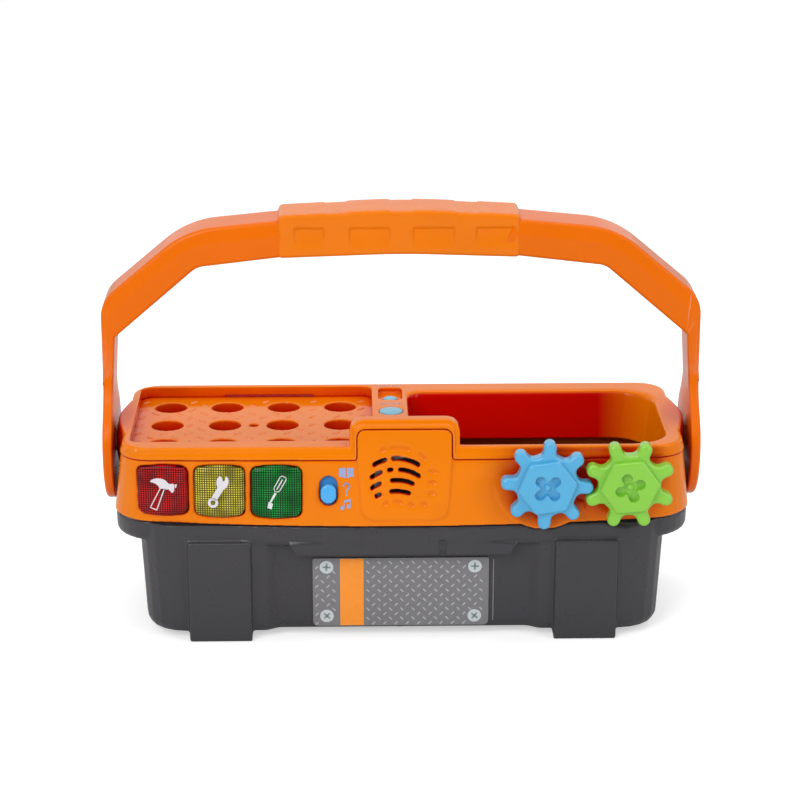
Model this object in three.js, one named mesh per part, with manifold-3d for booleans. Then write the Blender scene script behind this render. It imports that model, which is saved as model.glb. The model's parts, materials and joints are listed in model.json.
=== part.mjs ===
// Toy tool box: a grey tub under an orange housing with a peg tray, a tool well, three light
// buttons, a slide switch, a speaker, two meshed spinning gears and a swinging carry handle.
// Millimetres. X runs to the right, Y to the back and Z up. The handle's pivots lie over Y = 0
// while the pieces are made, and the last lines centre the whole box over the origin.
import * as THREE from 'three';
import { mergeVertices } from 'three/addons/utils/BufferGeometryUtils.js';
import Module from 'manifold-3d';

const wasm = await Module();
wasm.setup();

// Sizes that every piece shares
const wall = 2.4;
const fit = 0.3;
const overrun = 2;
const roundSteps = 16;
const weld = 0.03;
const finePlate = 1.6;

// Heights of the box, from the floor
const partingHeight = 68;
const housingTall = 42.3;
const rimHeight = partingHeight + housingTall;
const ledgeDrop = 3.5;
const ledgeTop = rimHeight - ledgeDrop;
const bandStep = 1.2;
const ledgeFoot = ledgeTop - bandStep;
const grooveDrop = 7;
const grooveHeight = rimHeight - grooveDrop;
const flangeTall = 12.4;
const flangeFoot = partingHeight - flangeTall;
const tubFoot = 3.5;

// Plan of the housing at its rim and at its lower edge
const rimHalfLength = 149.3;
const rimFront = 55.4;
const rimBack = 55.4;
const rimCorner = 15;
const rimEdge = 0.8;
const bandProud = 0.5;
const skirtHalfLength = 155.3;
const skirtFront = 48.6;
const skirtBack = 59;
const skirtCorner = 21;
const skirtBow = 13.6;

// Tub
const tubHalfLength = 141.6;
const tubFootHalfLength = 139;
const tubDepth = 56;
const tubFootDepth = 53.4;
const tubCorner = 22;
const tubWall = 2.2;
const tubFootRound = 5;
const dentDepth = 4;
const dentHalf = 70.4;
const dentBlend = 4.4;
const flangeTaper = 2.4;
const upstand = 2.6;
const dividerX = -3;
const dividerDrop = 4;
const dividerTop = partingHeight - dividerDrop;

// Legs
const legInner = 81.4;
const legOuter = 115;
const legProud = 2.8;
const legDraft = 1.4;
const legUnder = 12;

// Apron with its clasp zone, under the front of the flange
const apronHalf = 61.4;
const apronFootHalf = 57.4;
const apronTall = 5.2;
const apronRound = 2;
const apronFoot = flangeFoot - apronTall;
const claspHalf = 22.3;
const claspDeep = 0.6;

// Peg tray
const trayLeft = -145.4;
const trayRight = -15.8;
const trayFront = -43.8;
const trayBack = 50.8;
const trayCorner = 5;
const trayDrop = 6;
const trayLip = 2;
const trayPlate = 2.2;
const pegPitch = 31.5;
const pegColumns = 4;
const pegRows = 3;
const pegRadius = 8.75;
const pegDepth = 18;
const pegWall = 1.5;
const pegCentreX = -80.7;
const pegCentreY = 0.8;

// Tool well
const wellLeft = 4.4;
const wellRight = 141.5;
const wellFront = -50.2;
const wellBack = 40.6;
const wellCorner = 20;
const wellInnerCorner = 9;
const wellNotchX = 29.5;
const wellNotchY = -33;
const wellNotchCorner = 3;
const wellRound = 2.6;
const wellDeep = 27.3;
const wellDraft = 3.6;
const wellFrontDraft = 10;
const skirtWall = 2.2;

// Speaker hood, its raised panel and the speaker
const hoodCentre = 0.8;
const hoodHalf = 29.2;
const hoodRise = 14.3;
const hoodTop = rimHeight + hoodRise;
const hoodCorner = 6.6;
const hoodBack = -45.9;
const hoodStep = 2.6;
const hoodStepDeep = 0.8;
const slopeFootY = -62.2;
const slopeRise = 0.148;
const padTopHalf = 25.2;
const padFootHalf = 22.8;
const padRise = 9.5;
const padTop = rimHeight + padRise;
const padSill = 3.2;
const padFoot = partingHeight + padSill;
const padCorner = 4;
const padFootCorner = 7;
const padProud = 0.7;
const slotWidth = 2.4;
const slotDrop = 9.6;
const slotTop = padTop - slotDrop;
const slotArc = 22.5;
const slotShift = -4.6;
const slotReach = 20;
const slotBlind = 0.9;
const grooveGap = 0.3;
const grooveTurn = 2;
const slotSteps = [0, 0.25, 0.5, 0.75, 1];
// Arched slots, row by row, as shares of the reach: start, end and whether they go through
const slotShares = [
  [[-0.66, -0.47, false], [-0.4, 0.14, false], [0.35, 0.56, false]],
  [[-0.85, -0.47, true], [-0.36, 0.4, true]],
  [[-0.93, -0.59, true], [-0.47, -0.3, true], [-0.18, 0.42, true]],
  [[-0.91, -0.62, true], [-0.39, 0.26, true]],
  [[-0.8, -0.61, true], [-0.41, 0.16, true]],
  [[-0.59, -0.44, false], [-0.33, -0.04, false], [0.08, 0.26, false]],
];
// Short level dents beside the rows: row, start and end
const dashShares = [[2, 0.61, 0.87], [3, 0.59, 0.85], [4, 0.61, 0.8], [5, 0.4, 0.58]];
const slotMargin = 19.6;
const slotPitch = (padTop - padFoot - slotMargin) / (slotShares.length - 1);
const speakerDrop = 29.4;
const speakerHeight = padTop - speakerDrop;
const speakerRadius = 16.6;
const speakerDepth = 9;
const magnetRadius = 8.5;
const magnetDepth = 5;

// Light buttons
const lightNames = ['red', 'yellow', 'green'];
const lightColours = [0x9c0b10, 0xb5a33a, 0x0b7a2c];
const lightFirst = -127.4;
const lightPitch = 30.1;
const lightHalfWidth = 13.2;
const lightMargin = 13.1;
const lightHalfHeight = (housingTall - lightMargin) / 2;
const lightSill = 4;
const lightHeight = partingHeight + lightSill + lightHalfHeight;
const lightCorner = 3;
const lightCrown = 1.6;
const lightProud = 1.5;
const lightTab = 1.1;
const lightTabHalf = 10;
const lightTravel = 2;
const guideHalf = 9;
const guideWall = 1.6;
const keyBoardFront = -43;
const keySwitchHeight = 1.6;
const keySwitchHalf = 2.2;
const ledRadius = 1.8;
const ledLength = 2.8;

// Slide switch
const slideX = -39.6;
const slideRise = 19.2;
const slideHeight = partingHeight + slideRise;
const slideSlotHalf = 4.7;
const slideSlotTall = 8;
const slideKnobTall = 5.9;
const slideProud = 3;

// ON and OFF buttons on the bridge between tray and well
const bridgeX = -5.4;
const onY = 32.5;
const onRadius = 3.85;
const onPocketHalf = 6.6;
const onPocketFront = 25.9;
const onPocketBack = 47.8;
const onPocketDeep = 3;
const offY = 6;
const offRadius = 6.4;
const pushTravel = 1.4;
const pushLip = 0.9;
const pushFlange = 1.2;
const capFlatShare = 0.8;
const topBoardDrop = 10.7;
const topBoardHeight = rimHeight - topBoardDrop;

// Gears
const gearNames = ['blue', 'green'];
const gearColours = [0x58b4e0, 0x93d650];
const gearFirst = 75.4;
const gearPitch = 43.4;
const gearX = [gearFirst, gearFirst + gearPitch];
const gearRise = 24.5;
const gearHeight = partingHeight + gearRise;
const gearTeeth = 8;
const gearTip = 24.4;
const gearRoot = 16.6;
const toothHalf = 3.4;
const toothFillet = 3.4;
const gearStand = 0.4;
const gearBackY = slopeFootY - gearStand;
const gearThick = 7.2;
const gearBevel = 1.7;
const hexRadius = 16;
const hexTall = 3.4;
const hexBevel = 1.2;
const crossArm = 8.2;
const crossHalf = 2.4;
const crossDeep = 4;
const crossBoss = 1.6;
const seatRadius = 27.4;
const standRadius = 12;
const seatProud = 0.9;
const hubRadius = 5;
const shaftRadius = 4;
const shaftReach = 10.6;
const shaftEndY = slopeFootY + shaftReach;

// Handle
const pivotRise = 29;
const pivotHeight = partingHeight + pivotRise;
const handleReach = 132;
const crownHeight = pivotHeight + handleReach;
const bossStand = 6;
const bossFace = rimHalfLength + bossStand;
const bossTall = 5.7;
const bossFoot = bossFace - bossTall;
const armGap = 0.5;
const armInner = bossFace + armGap;
const armThick = 5.2;
const armOuter = armInner + armThick;
const armNeck = 2;
const armInnerTop = armInner - armNeck;
const armCornerFall = 70.5;
const armCornerRound = 1;
const armInnerCorner = crownHeight - armCornerFall;
const armFoot = 25;
const armStraight = pivotHeight + armFoot;
const shoulderFall = 50.4;
const shoulderHeight = crownHeight - shoulderFall;
const elbowInset = 46.4;
const elbowX = armOuter - elbowInset;
const elbowFall = 11.4;
const elbowHeight = crownHeight - elbowFall;
const underElbowInset = 5.6;
const underElbowX = elbowX - underElbowInset;
const underElbowFall = 31.9;
const underElbowHeight = crownHeight - underElbowFall;
const barTall = 19;
const underCrownHeight = crownHeight - barTall;
const shoulderRound = 20;
const elbowRound = 22;
const underElbowRound = 12;
const crownRound = 700;
const underCrownRound = 500;
const handleHalfDepth = 13.5;
const handleBevel = 1.5;
const paddleRadius = 31.8;
const paddleBend = 0.8 * paddleRadius;
const paddleNeckRise = 31;
const paddleNeck = pivotHeight + paddleNeckRise;
const paddleShoulderRise = 11;
const paddleShoulder = pivotHeight + paddleShoulderRise;
const channelWall = 2.6;
const channelInset = 29;
const channelEndX = armOuter - channelInset;
const coverThick = 2.2;
const bossRadius = 31;
const bossFlat = 8;
const pivotRadius = 6;
const pivotDrop = 4.1;
const pivotEnd = bossFace - pivotDrop;
const pivotRecess = 8.2;

// Grip sleeve
const gripHalf = 63.4;
const gripFall = 3.4;
const gripTopEnd = crownHeight - gripFall;
const gripCrown = 3.4;
const gripTopMiddle = gripTopEnd + gripCrown;
const gripTall = 23.4;
const gripFootEnd = gripTopEnd - gripTall;
const gripArch = 2.1;
const gripFootMiddle = gripFootEnd + gripArch;
const gripHalfDepth = 14.3;
const gripBevel = 1.8;
const gripWall = 2.4;
const gripCorner = 2.4;
const gripRound = 500;
const dimpleCentres = [-49, -17, 17.2, 50.2];
const dimpleHalf = [7.4, 10.2, 10.6, 10];
const dimpleTall = 5;
const dimpleDeep = 0.9;
const dimpleDrop = 14.4;
const dimpleHeight = crownHeight - dimpleDrop;

// Batteries and their box, in the left of the tub
const cellCount = 3;
const cellRadius = 7.1;
const cellLength = 48.6;
const cellNub = 2.7;
const cellNubLong = 1.5;
const cellPitch = 16;
const batteryX = -70;
const batteryHalfLong = 30;
const batteryWall = 2;
const batteryTall = 17;
const batteryDeskX = 13;
const doorLip = 3;
const doorThick = 2;
const contactThick = 0.6;
const contactReach = 3.2;

// Screws and washers
const screwRadius = 1.5;
const screwHole = 1.95;
const screwHead = 2.9;
const screwHeadTall = 1.8;
const screwSlot = 0.6;
const screwSlotDeep = 0.7;
const flangeScrewX = 148.2;
const flangeScrewFront = -26;
const flangeScrewBack = 38;
const screwPost = 4.2;
const washerThick = 1;
const screwSteps = 8;
const headSteps = 12;

// Label on the front of the tub
const labelCentre = -1.2;
const labelHalf = 47.4;
const labelDrop = 9.2;
const labelTop = flangeFoot - labelDrop;
const labelFoot = 6.4;
const labelThick = 0.5;
const labelCorner = 1.6;

const orange = 0xee7a0c;
const charcoal = 0x4f4e53;
const toolBox = new THREE.Group();

// Solids and meshes

function solid(geometry) {
  const bare = geometry.clone();
  bare.deleteAttribute('normal');
  bare.deleteAttribute('uv');
  const merged = mergeVertices(bare);
  const index = merged.index.array;
  const at = merged.attributes.position.array;
  const kept = [];
  let volume = 0;
  const corner = [new THREE.Vector3(), new THREE.Vector3(), new THREE.Vector3()];
  for (let i = 0; i < index.length; i += 3) {
    const face = [index[i], index[i + 1], index[i + 2]];
    if (face[0] === face[1] || face[1] === face[2] || face[2] === face[0]) continue;
    face.forEach((vertex, n) => corner[n].fromArray(at, 3 * vertex));
    volume += corner[0].dot(corner[1].clone().cross(corner[2]));
    kept.push(...face);
  }
  if (volume < 0) kept.reverse();
  return new wasm.Manifold(new wasm.Mesh({
    numProp: 3,
    vertProperties: new Float32Array(at),
    triVerts: new Uint32Array(kept),
  }));
}

function add(name, shape, colour, roughness = 0.35, metalness = 0) {
  const mesh = shape.asOriginal().simplify(weld).getMesh();
  const geometry = new THREE.BufferGeometry();
  geometry.setAttribute('position', new THREE.BufferAttribute(mesh.vertProperties, 3));
  geometry.setIndex(new THREE.BufferAttribute(mesh.triVerts, 1));
  geometry.computeVertexNormals();
  const piece = new THREE.Mesh(
    geometry,
    new THREE.MeshStandardMaterial({ color: colour, roughness, metalness }),
  );
  piece.name = name;
  toolBox.add(piece);
  return piece;
}

function joined(shapes) {
  return shapes.reduce((sum, shape) => sum.add(shape));
}

function cut(shape, cutters) {
  return cutters.reduce((rest, cutter) => rest.subtract(cutter), shape);
}

const axisX = new THREE.Vector3(1, 0, 0);
const axisY = new THREE.Vector3(0, 1, 0);
const axisZ = new THREE.Vector3(0, 0, 1);
const turnToY = new THREE.Matrix4().makeBasis(axisX, axisZ, axisY.clone().negate());
const turnToX = new THREE.Matrix4().makeBasis(axisY, axisZ, axisX);

// A flat outline swept along X, Y or Z between two planes
function prism(outline, axis, from, to, bevel = 0) {
  const shape = new THREE.Shape(outline);
  const geometry = new THREE.ExtrudeGeometry(shape, {
    depth: to - from - 2 * bevel,
    bevelEnabled: bevel > 0,
    bevelThickness: bevel,
    bevelSize: bevel,
    bevelOffset: -bevel,
    bevelSegments: 2,
    curveSegments: 1,
  });
  geometry.translate(0, 0, bevel);
  if (axis === 'x') geometry.applyMatrix4(turnToX).translate(from, 0, 0);
  if (axis === 'y') geometry.applyMatrix4(turnToY).translate(0, to, 0);
  if (axis === 'z') geometry.translate(0, 0, from);
  return geometry;
}

function block(x0, x1, y0, y1, z0, z1) {
  const geometry = new THREE.BoxGeometry(x1 - x0, y1 - y0, z1 - z0);
  return geometry.translate((x0 + x1) / 2, (y0 + y1) / 2, (z0 + z1) / 2);
}

// A round bar or taper along X, Y or Z
function rod(axis, radius, from, to, u = 0, v = 0, endRadius = radius, steps = roundSteps) {
  const geometry = new THREE.CylinderGeometry(endRadius, radius, to - from, steps);
  geometry.translate(0, (from + to) / 2, 0);
  if (axis === 'x') return geometry.rotateZ(-Math.PI / 2).translate(0, u, v);
  if (axis === 'z') return geometry.rotateX(Math.PI / 2).translate(u, v, 0);
  return geometry.translate(u, 0, v);
}

// An outline through corners [x, y, radius] taken anticlockwise, set in by one distance
function rounded(corners, inset = 0, steps = 3) {
  const points = [];
  corners.forEach(([x, y, radius = 0], i) => {
    const [px, py] = corners[(i + corners.length - 1) % corners.length];
    const [nx, ny] = corners[(i + 1) % corners.length];
    const into = new THREE.Vector2(x - px, y - py).normalize();
    const away = new THREE.Vector2(nx - x, ny - y).normalize();
    const intoLeft = new THREE.Vector2(-into.y, into.x);
    const awayLeft = new THREE.Vector2(-away.y, away.x);
    const shift = intoLeft.clone().add(awayLeft).multiplyScalar(inset / (1 + intoLeft.dot(awayLeft)));
    const at = new THREE.Vector2(x, y).add(shift);
    const turn = Math.atan2(into.cross(away), into.dot(away));
    const side = Math.sign(turn);
    const bend = Math.max(radius - side * inset, 0);
    if (bend === 0 || turn === 0) {
      points.push(at);
      return;
    }
    const reach = bend * Math.tan(Math.abs(turn) / 2);
    const start = at.clone().addScaledVector(into, -reach);
    const centre = start.clone().addScaledVector(intoLeft, side * bend);
    for (let step = 0; step <= steps; step++) {
      points.push(start.clone().rotateAround(centre, turn * step / steps));
    }
  });
  return points;
}

function rectangle(x0, x1, y0, y1, radius = 0) {
  return [[x0, y0, radius], [x1, y0, radius], [x1, y1, radius], [x0, y1, radius]];
}

// A closed skin through plan outlines of equal counts, one above the other
function loft(levels) {
  const count = levels[0].outline.length;
  const at = levels.flatMap(({ height, outline }) => outline.flatMap((p) => [p.x, p.y, height]));
  const faces = [];
  for (let level = 0; level + 1 < levels.length; level++) {
    for (let i = 0; i < count; i++) {
      const a = level * count + i;
      const b = level * count + (i + 1) % count;
      faces.push(a, b, b + count, a, b + count, a + count);
    }
  }
  const top = (levels.length - 1) * count;
  for (const [a, b, c] of THREE.ShapeUtils.triangulateShape(levels[0].outline, [])) {
    faces.push(c, b, a);
  }
  for (const [a, b, c] of THREE.ShapeUtils.triangulateShape(levels.at(-1).outline, [])) {
    faces.push(top + a, top + b, top + c);
  }
  const geometry = new THREE.BufferGeometry();
  geometry.setAttribute('position', new THREE.Float32BufferAttribute(at, 3));
  geometry.setIndex(faces);
  return geometry;
}

// A turned place on a sloping wall: its Y points into the box
function place(x, y, z, lean, swing) {
  const turn = new THREE.Matrix4().makeRotationFromEuler(new THREE.Euler(lean, 0, swing, 'ZYX'));
  return turn.setPosition(x, y, z);
}

function screw(name, axis, seat, length, direction, u, v) {
  const tip = seat + direction * length;
  const crown = seat - direction * screwHeadTall;
  const turned = (radius, end, steps) => {
    return rod(axis, radius, Math.min(crown, end), Math.max(crown, end), u, v, radius, steps);
  };
  const head = turned(screwHead, seat, headSteps);
  const shank = turned(screwRadius, tip, screwSteps);
  const bottom = crown + direction * screwSlotDeep;
  const low = Math.min(crown - direction * overrun, bottom);
  const high = Math.max(crown - direction * overrun, bottom);
  const slots = [[screwSlot, screwHead / 2], [screwHead / 2, screwSlot]].map(([a, b]) => {
    if (axis === 'x') return solid(block(low, high, u - a, u + a, v - b, v + b));
    if (axis === 'y') return solid(block(u - a, u + a, low, high, v - b, v + b));
    return solid(block(u - a, u + a, v - b, v + b, low, high));
  });
  add(name, cut(joined([solid(head), solid(shank)]), slots), 0xb9bcc0, 0.3, 0.9);
}

function washer(name, axis, outer, inner, from, to, u, v) {
  const ring = solid(rod(axis, outer, from, to, u, v));
  const hole = solid(rod(axis, inner, from - overrun, to + overrun, u, v));
  add(name, ring.subtract(hole), 0xc4c7ca, 0.3, 0.9);
}

// Plan of the housing at one height: round corners and a front that bows out below the rim
function housingPlan(height, inset) {
  const share = (rimHeight - height) / (rimHeight - partingHeight);
  const mix = (rim, skirt) => rim + share * (skirt - rim);
  const halfLength = mix(rimHalfLength, skirtHalfLength);
  const front = mix(rimFront, skirtFront);
  const back = mix(rimBack, skirtBack);
  const corner = mix(rimCorner, skirtCorner);
  const frontSteps = 10;
  const straight = halfLength - corner;
  const outline = rounded(
    [[halfLength, -front, corner], [halfLength, back, corner], [-halfLength, back, corner],
      [-halfLength, -front, corner]],
    inset,
    7,
  );
  for (let step = 1; step < frontSteps; step++) {
    outline.push(new THREE.Vector2(straight * (2 * step / frontSteps - 1), inset - front));
  }
  for (const point of outline) {
    const along = 1 - (point.x / halfLength) ** 2;
    const forward = Math.min(Math.max(-point.y / front, 0), 1);
    point.y -= share * skirtBow * Math.max(along, 0) * forward;
  }
  return outline;
}

// How far forward the housing's front wall stands
function panelFront(x, z) {
  const share = (rimHeight - z) / (rimHeight - partingHeight);
  const halfLength = rimHalfLength + share * (skirtHalfLength - rimHalfLength);
  const front = rimFront + share * (skirtFront - rimFront);
  return -front - share * skirtBow * (1 - (x / halfLength) ** 2);
}

function panelPlace(x, z) {
  const reach = 5;
  const rise = (panelFront(x, z + reach) - panelFront(x, z - reach)) / (2 * reach);
  const run = (panelFront(x + reach, z) - panelFront(x - reach, z)) / (2 * reach);
  return place(x, panelFront(x, z), z, -Math.atan(rise), Math.atan(run));
}

// The sloping front plane of the speaker hood, as a cutter along X that keeps what lies behind it
function behindSlope(proud, thick = skirtBack) {
  const at = (z) => slopeFootY + slopeRise * (z - partingHeight) - proud;
  const low = partingHeight - wellDeep;
  const high = hoodTop + wellDeep;
  return solid(prism(
    [[at(low), low], [at(low) + thick, low], [at(high) + thick, high], [at(high), high]]
      .map(([y, z]) => new THREE.Vector2(y, z)),
    'x',
    -armOuter,
    armOuter,
  ));
}

const padCorners = [
  [hoodCentre + padFootHalf, padFoot, padFootCorner],
  [hoodCentre + padTopHalf, grooveHeight, 0],
  [hoodCentre + padTopHalf, padTop, padCorner],
  [hoodCentre - padTopHalf, padTop, padCorner],
  [hoodCentre - padTopHalf, grooveHeight, 0],
  [hoodCentre - padFootHalf, padFoot, padFootCorner],
];
const hoodCorners = rectangle(
  hoodCentre - hoodHalf,
  hoodCentre + hoodHalf,
  grooveHeight - hoodCorner,
  hoodTop,
  hoodCorner,
);

function levels(list) {
  return loft(list.map(([height, inset]) => ({ height, outline: housingPlan(height, inset) })));
}

// Levels for a wall of even thickness, close enough together to follow the bow
function wallLevels(from, to, inset) {
  const steps = 3;
  const list = [];
  for (let step = 0; step <= steps; step++) list.push([from + (to - from) * step / steps, inset]);
  return solid(levels(list));
}

function sideBoss(side, grow) {
  const profile = [
    [0, bossFace + grow], [bossFlat, bossFace + grow], [bossRadius + grow, bossFoot + grow],
    [bossRadius + grow, bossFoot - 3 * wall], [0, bossFoot - 3 * wall],
  ].map(([r, h]) => new THREE.Vector2(r, h));
  const boss = new THREE.LatheGeometry(profile, 2 * roundSteps);
  boss.rotateZ(-side * Math.PI / 2);
  return solid(boss.translate(0, 0, pivotHeight));
}

const pivotSides = [-1, 1];

// Boss, wall and bore are cut by the same shell
const innerShell = wallLevels(partingHeight - overrun, rimHeight - wall, wall);
const pivotBores = pivotSides.flatMap((side) => [
  [pivotRadius + fit, armOuter],
  [pivotRecess, pivotEnd + fit],
].map(([radius, reach]) => solid(rod(
  'x',
  radius,
  Math.min(side * (bossFoot - 3 * wall), side * reach),
  Math.max(side * (bossFoot - 3 * wall), side * reach),
  0,
  pivotHeight,
))));
const roomBehindWalls = wallLevels(partingHeight - overrun, rimHeight - wall, wall + fit);

const trayUnder = rimHeight - trayDrop - trayPlate;
const trayOutline = rectangle(
  trayLeft - trayLip,
  trayRight + trayLip,
  trayFront - trayLip,
  trayBack + trayLip,
  trayCorner + trayLip,
);
const flangeScrews = [-flangeScrewX, flangeScrewX].flatMap((x) => [
  [x, flangeScrewFront],
  [x, flangeScrewBack],
]);
const lightPlaces = lightNames.map((name, i) => panelPlace(lightFirst + i * lightPitch, lightHeight));
const slidePlace = panelPlace(slideX, slideHeight);

function lightOutline(inset) {
  const half = lightHalfWidth;
  const tall = lightHalfHeight - lightCrown;
  return rounded(
    [[-half, -tall, lightCorner], [0, -lightHalfHeight, 4 * half], [half, -tall, lightCorner],
      [half, tall, lightCorner], [0, lightHalfHeight, 4 * half], [-half, tall, lightCorner]],
    inset,
    3,
  );
}

function local(geometry, matrix) {
  return solid(geometry.applyMatrix4(matrix));
}

// Grey tub
function tubPlan(height, inset) {
  const share = Math.min((flangeFoot - height) / (flangeFoot - tubFoot), 1);
  const halfLength = tubHalfLength + share * (tubFootHalfLength - tubHalfLength);
  const depth = tubDepth + share * (tubFootDepth - tubDepth);
  const outline = rounded(rectangle(-halfLength, halfLength, -depth, depth, tubCorner), inset, 5);
  const quarter = outline.length / 4;
  const steps = 4;
  const waves = [];
  for (const side of pivotSides) {
    for (let step = 0; step <= steps; step++) {
      const x = side * dentHalf + dentBlend * (2 * step / steps - 1);
      const share = side < 0 ? 1 - step / steps : step / steps;
      waves.push([x, dentDepth * (1 + Math.cos(Math.PI * share)) / 2]);
    }
  }
  const front = waves.map(([x, deep]) => new THREE.Vector2(x, deep + inset - depth));
  const back = waves.map(([x, deep]) => new THREE.Vector2(-x, depth - inset - deep));
  return [
    ...outline.slice(0, quarter), ...front, ...outline.slice(quarter, 3 * quarter), ...back,
    ...outline.slice(3 * quarter),
  ];
}

function tubLoft(list) {
  return solid(loft(list.map(([height, inset]) => ({ height, outline: tubPlan(height, inset) }))));
}

const batteryHalfWide = cellPitch * cellCount / 2 + cellRadius / 4;
const batteryTop = tubFoot + doorThick + fit + batteryTall;
const doorHalfWide = batteryHalfWide + doorLip;
const doorRight = batteryX + batteryHalfLong + batteryDeskX - doorLip;
const doorLeft = batteryX - batteryHalfLong - doorLip;
const doorScrewX = (batteryX + batteryHalfLong + doorRight + doorLip) / 2;

function makeTub() {
  const top = partingHeight - fit - rimEdge;
  const flange = solid(levels([
    [flangeFoot, flangeTaper + rimEdge],
    [flangeFoot + flangeTaper, flangeTaper / 2 + rimEdge],
    [top, rimEdge],
  ]));
  const lip = solid(levels([[top - overrun, wall + fit], [top + upstand, wall + fit]]));
  const lipInset = wall + fit + finePlate;
  const lipCore = solid(levels([[flangeFoot, lipInset], [top + 2 * upstand, lipInset]]));
  const body = tubLoft([
    [tubFoot, tubFootRound], [tubFoot + tubFootRound / 4, tubFootRound / 3],
    [tubFoot + tubFootRound, 0], [top, 0],
  ]);
  const channel = solid(levels([
    [flangeFoot - overrun, flangeTaper + rimEdge + tubWall],
    [top - tubWall, rimEdge + tubWall + flangeTaper / 2],
  ])).subtract(tubLoft([[flangeFoot - 2 * overrun, 0], [top, 0]]));
  const inside = tubLoft([
    [tubFoot + tubWall, tubFootRound / 2 + tubWall], [tubFoot + tubFootRound + tubWall, tubWall],
    [top + 2 * upstand, tubWall],
  ]);
  const legs = pivotSides.flatMap((end) => pivotSides.map((side) => {
    const face = -side * (tubDepth + legProud);
    const foot = -side * (tubFootDepth + legProud + legDraft / 4);
    const inner = -side * (tubFootDepth - legUnder);
    const outline = [
      [inner, 0], [foot + side * rimEdge, 0], [foot, rimEdge], [face, flangeFoot + tubWall],
      [inner, flangeFoot + tubWall],
    ].map(([y, z]) => new THREE.Vector2(y, z));
    if (side < 0) outline.reverse();
    const from = end < 0 ? -legOuter : legInner;
    return solid(prism(outline, 'x', from, from + legOuter - legInner));
  }));
  const legRoom = tubLoft([
    [tubFoot + tubWall, tubFootRound / 2 + tubWall], [tubFoot + tubFootRound + tubWall, tubWall],
    [flangeFoot + 2 * tubWall, tubWall],
  ]);
  const apronFront = slopeFootY + flangeTaper / 2 + rimEdge;
  const apron = solid(prism(
    rounded([
      [-apronFootHalf, apronFoot, apronRound], [apronFootHalf, apronFoot, apronRound],
      [apronHalf, flangeFoot + tubWall], [-apronHalf, flangeFoot + tubWall],
    ]),
    'y',
    apronFront,
    -tubDepth + dentDepth + tubWall / 2,
  ));
  const apronHollow = solid(block(
    -apronFootHalf + tubWall,
    apronFootHalf - tubWall,
    apronFront + tubWall,
    -tubDepth + dentDepth - tubWall / 4,
    apronFoot - overrun,
    flangeFoot,
  ));
  const clasp = solid(block(
    -claspHalf - fit,
    claspHalf - fit,
    apronFront - overrun,
    apronFront + claspDeep,
    apronFoot - overrun,
    top - claspDeep,
  ));
  const tubLip = lip.subtract(lipCore).intersect(roomBehindWalls);
  const hollowLegs = legs.map((leg) => leg.subtract(legRoom));
  const shell = joined([flange, body, tubLip, ...hollowLegs]).subtract(channel);
  const posts = flangeScrews.map(([x, y]) => solid(rod(
    'z',
    screwPost,
    flangeFoot + flangeTaper / 2,
    top,
    x,
    y,
  )));
  const sunk = screwHead + fit;
  const postHoles = flangeScrews.flatMap(([x, y]) => [
    solid(rod('z', screwHole, flangeFoot - overrun, top + 2 * upstand, x, y, screwHole, screwSteps)),
    solid(rod('z', sunk, flangeFoot - overrun, flangeFoot + 2 * screwHeadTall, x, y, sunk, headSteps)),
  ]);
  const dividerInset = tubWall / 2;
  const dividerFoot = tubFoot + tubWall / 2;
  const divider = tubLoft([[dividerFoot, dividerInset], [dividerTop, dividerInset]]).intersect(solid(block(
    dividerX,
    dividerX + tubWall,
    -tubDepth,
    tubDepth,
    tubFoot,
    dividerTop,
  )));
  const boxWall = batteryWall + doorLip;
  const batteryBox = solid(block(
    batteryX - batteryHalfLong - boxWall,
    doorRight + batteryWall,
    -batteryHalfWide - boxWall,
    batteryHalfWide + boxWall,
    tubFoot,
    batteryTop + batteryWall,
  ));
  const batteryRoom = solid(block(
    batteryX - batteryHalfLong,
    batteryX + batteryHalfLong,
    -batteryHalfWide,
    batteryHalfWide,
    tubFoot - overrun,
    batteryTop,
  ));
  const doorRoom = solid(block(
    doorLeft - fit,
    doorRight + fit,
    -doorHalfWide - fit,
    doorHalfWide + fit,
    tubFoot - overrun,
    tubFoot + doorThick + fit,
  ));
  const doorPilot = solid(rod('z', screwHole, tubFoot, batteryTop, doorScrewX, 0, screwHole, screwSteps));
  const postRooms = flangeScrews.map(([x, y]) => solid(rod(
    'z',
    screwPost + 2 * fit,
    top,
    top + 2 * upstand,
    x,
    y,
  )));
  const seats = gearX.map((x) => solid(rod(
    'y',
    seatRadius + 2 * fit,
    gearBackY - overrun,
    slopeFootY + 3 * wall,
    x,
    gearHeight,
    seatRadius + 2 * fit,
    2 * roundSteps,
  )));
  const hollow = cut(joined([shell, apron]), [inside, apronHollow, clasp, ...seats, ...postRooms]);
  const housingPosts = joined([hollow, ...posts, divider, batteryBox]);
  add('tub', cut(housingPosts, [...postHoles, batteryRoom, doorRoom, doorPilot]), charcoal, 0.5);
}

// The side housing's share of the shell: all below the groove, and the tongue up the hood
function housingShare(grow) {
  const low = grooveHeight - hoodCorner;
  const left = hoodCentre - padTopHalf;
  const right = hoodCentre + padTopHalf;
  const tongue = solid(prism(rounded([
    [left - hoodCorner, low], [right + hoodCorner, low], [right + hoodCorner, grooveHeight],
    [right, grooveHeight, grooveTurn], [right, padTop, padCorner], [left, padTop, padCorner],
    [left, grooveHeight, grooveTurn], [left - hoodCorner, grooveHeight],
  ], -grow), 'y', 2 * slopeFootY, hoodBack - 3 * wall / 2));
  return solid(block(-armOuter, armOuter, -armOuter, armOuter, 0, grooveHeight + grow)).add(tongue);
}

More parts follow.
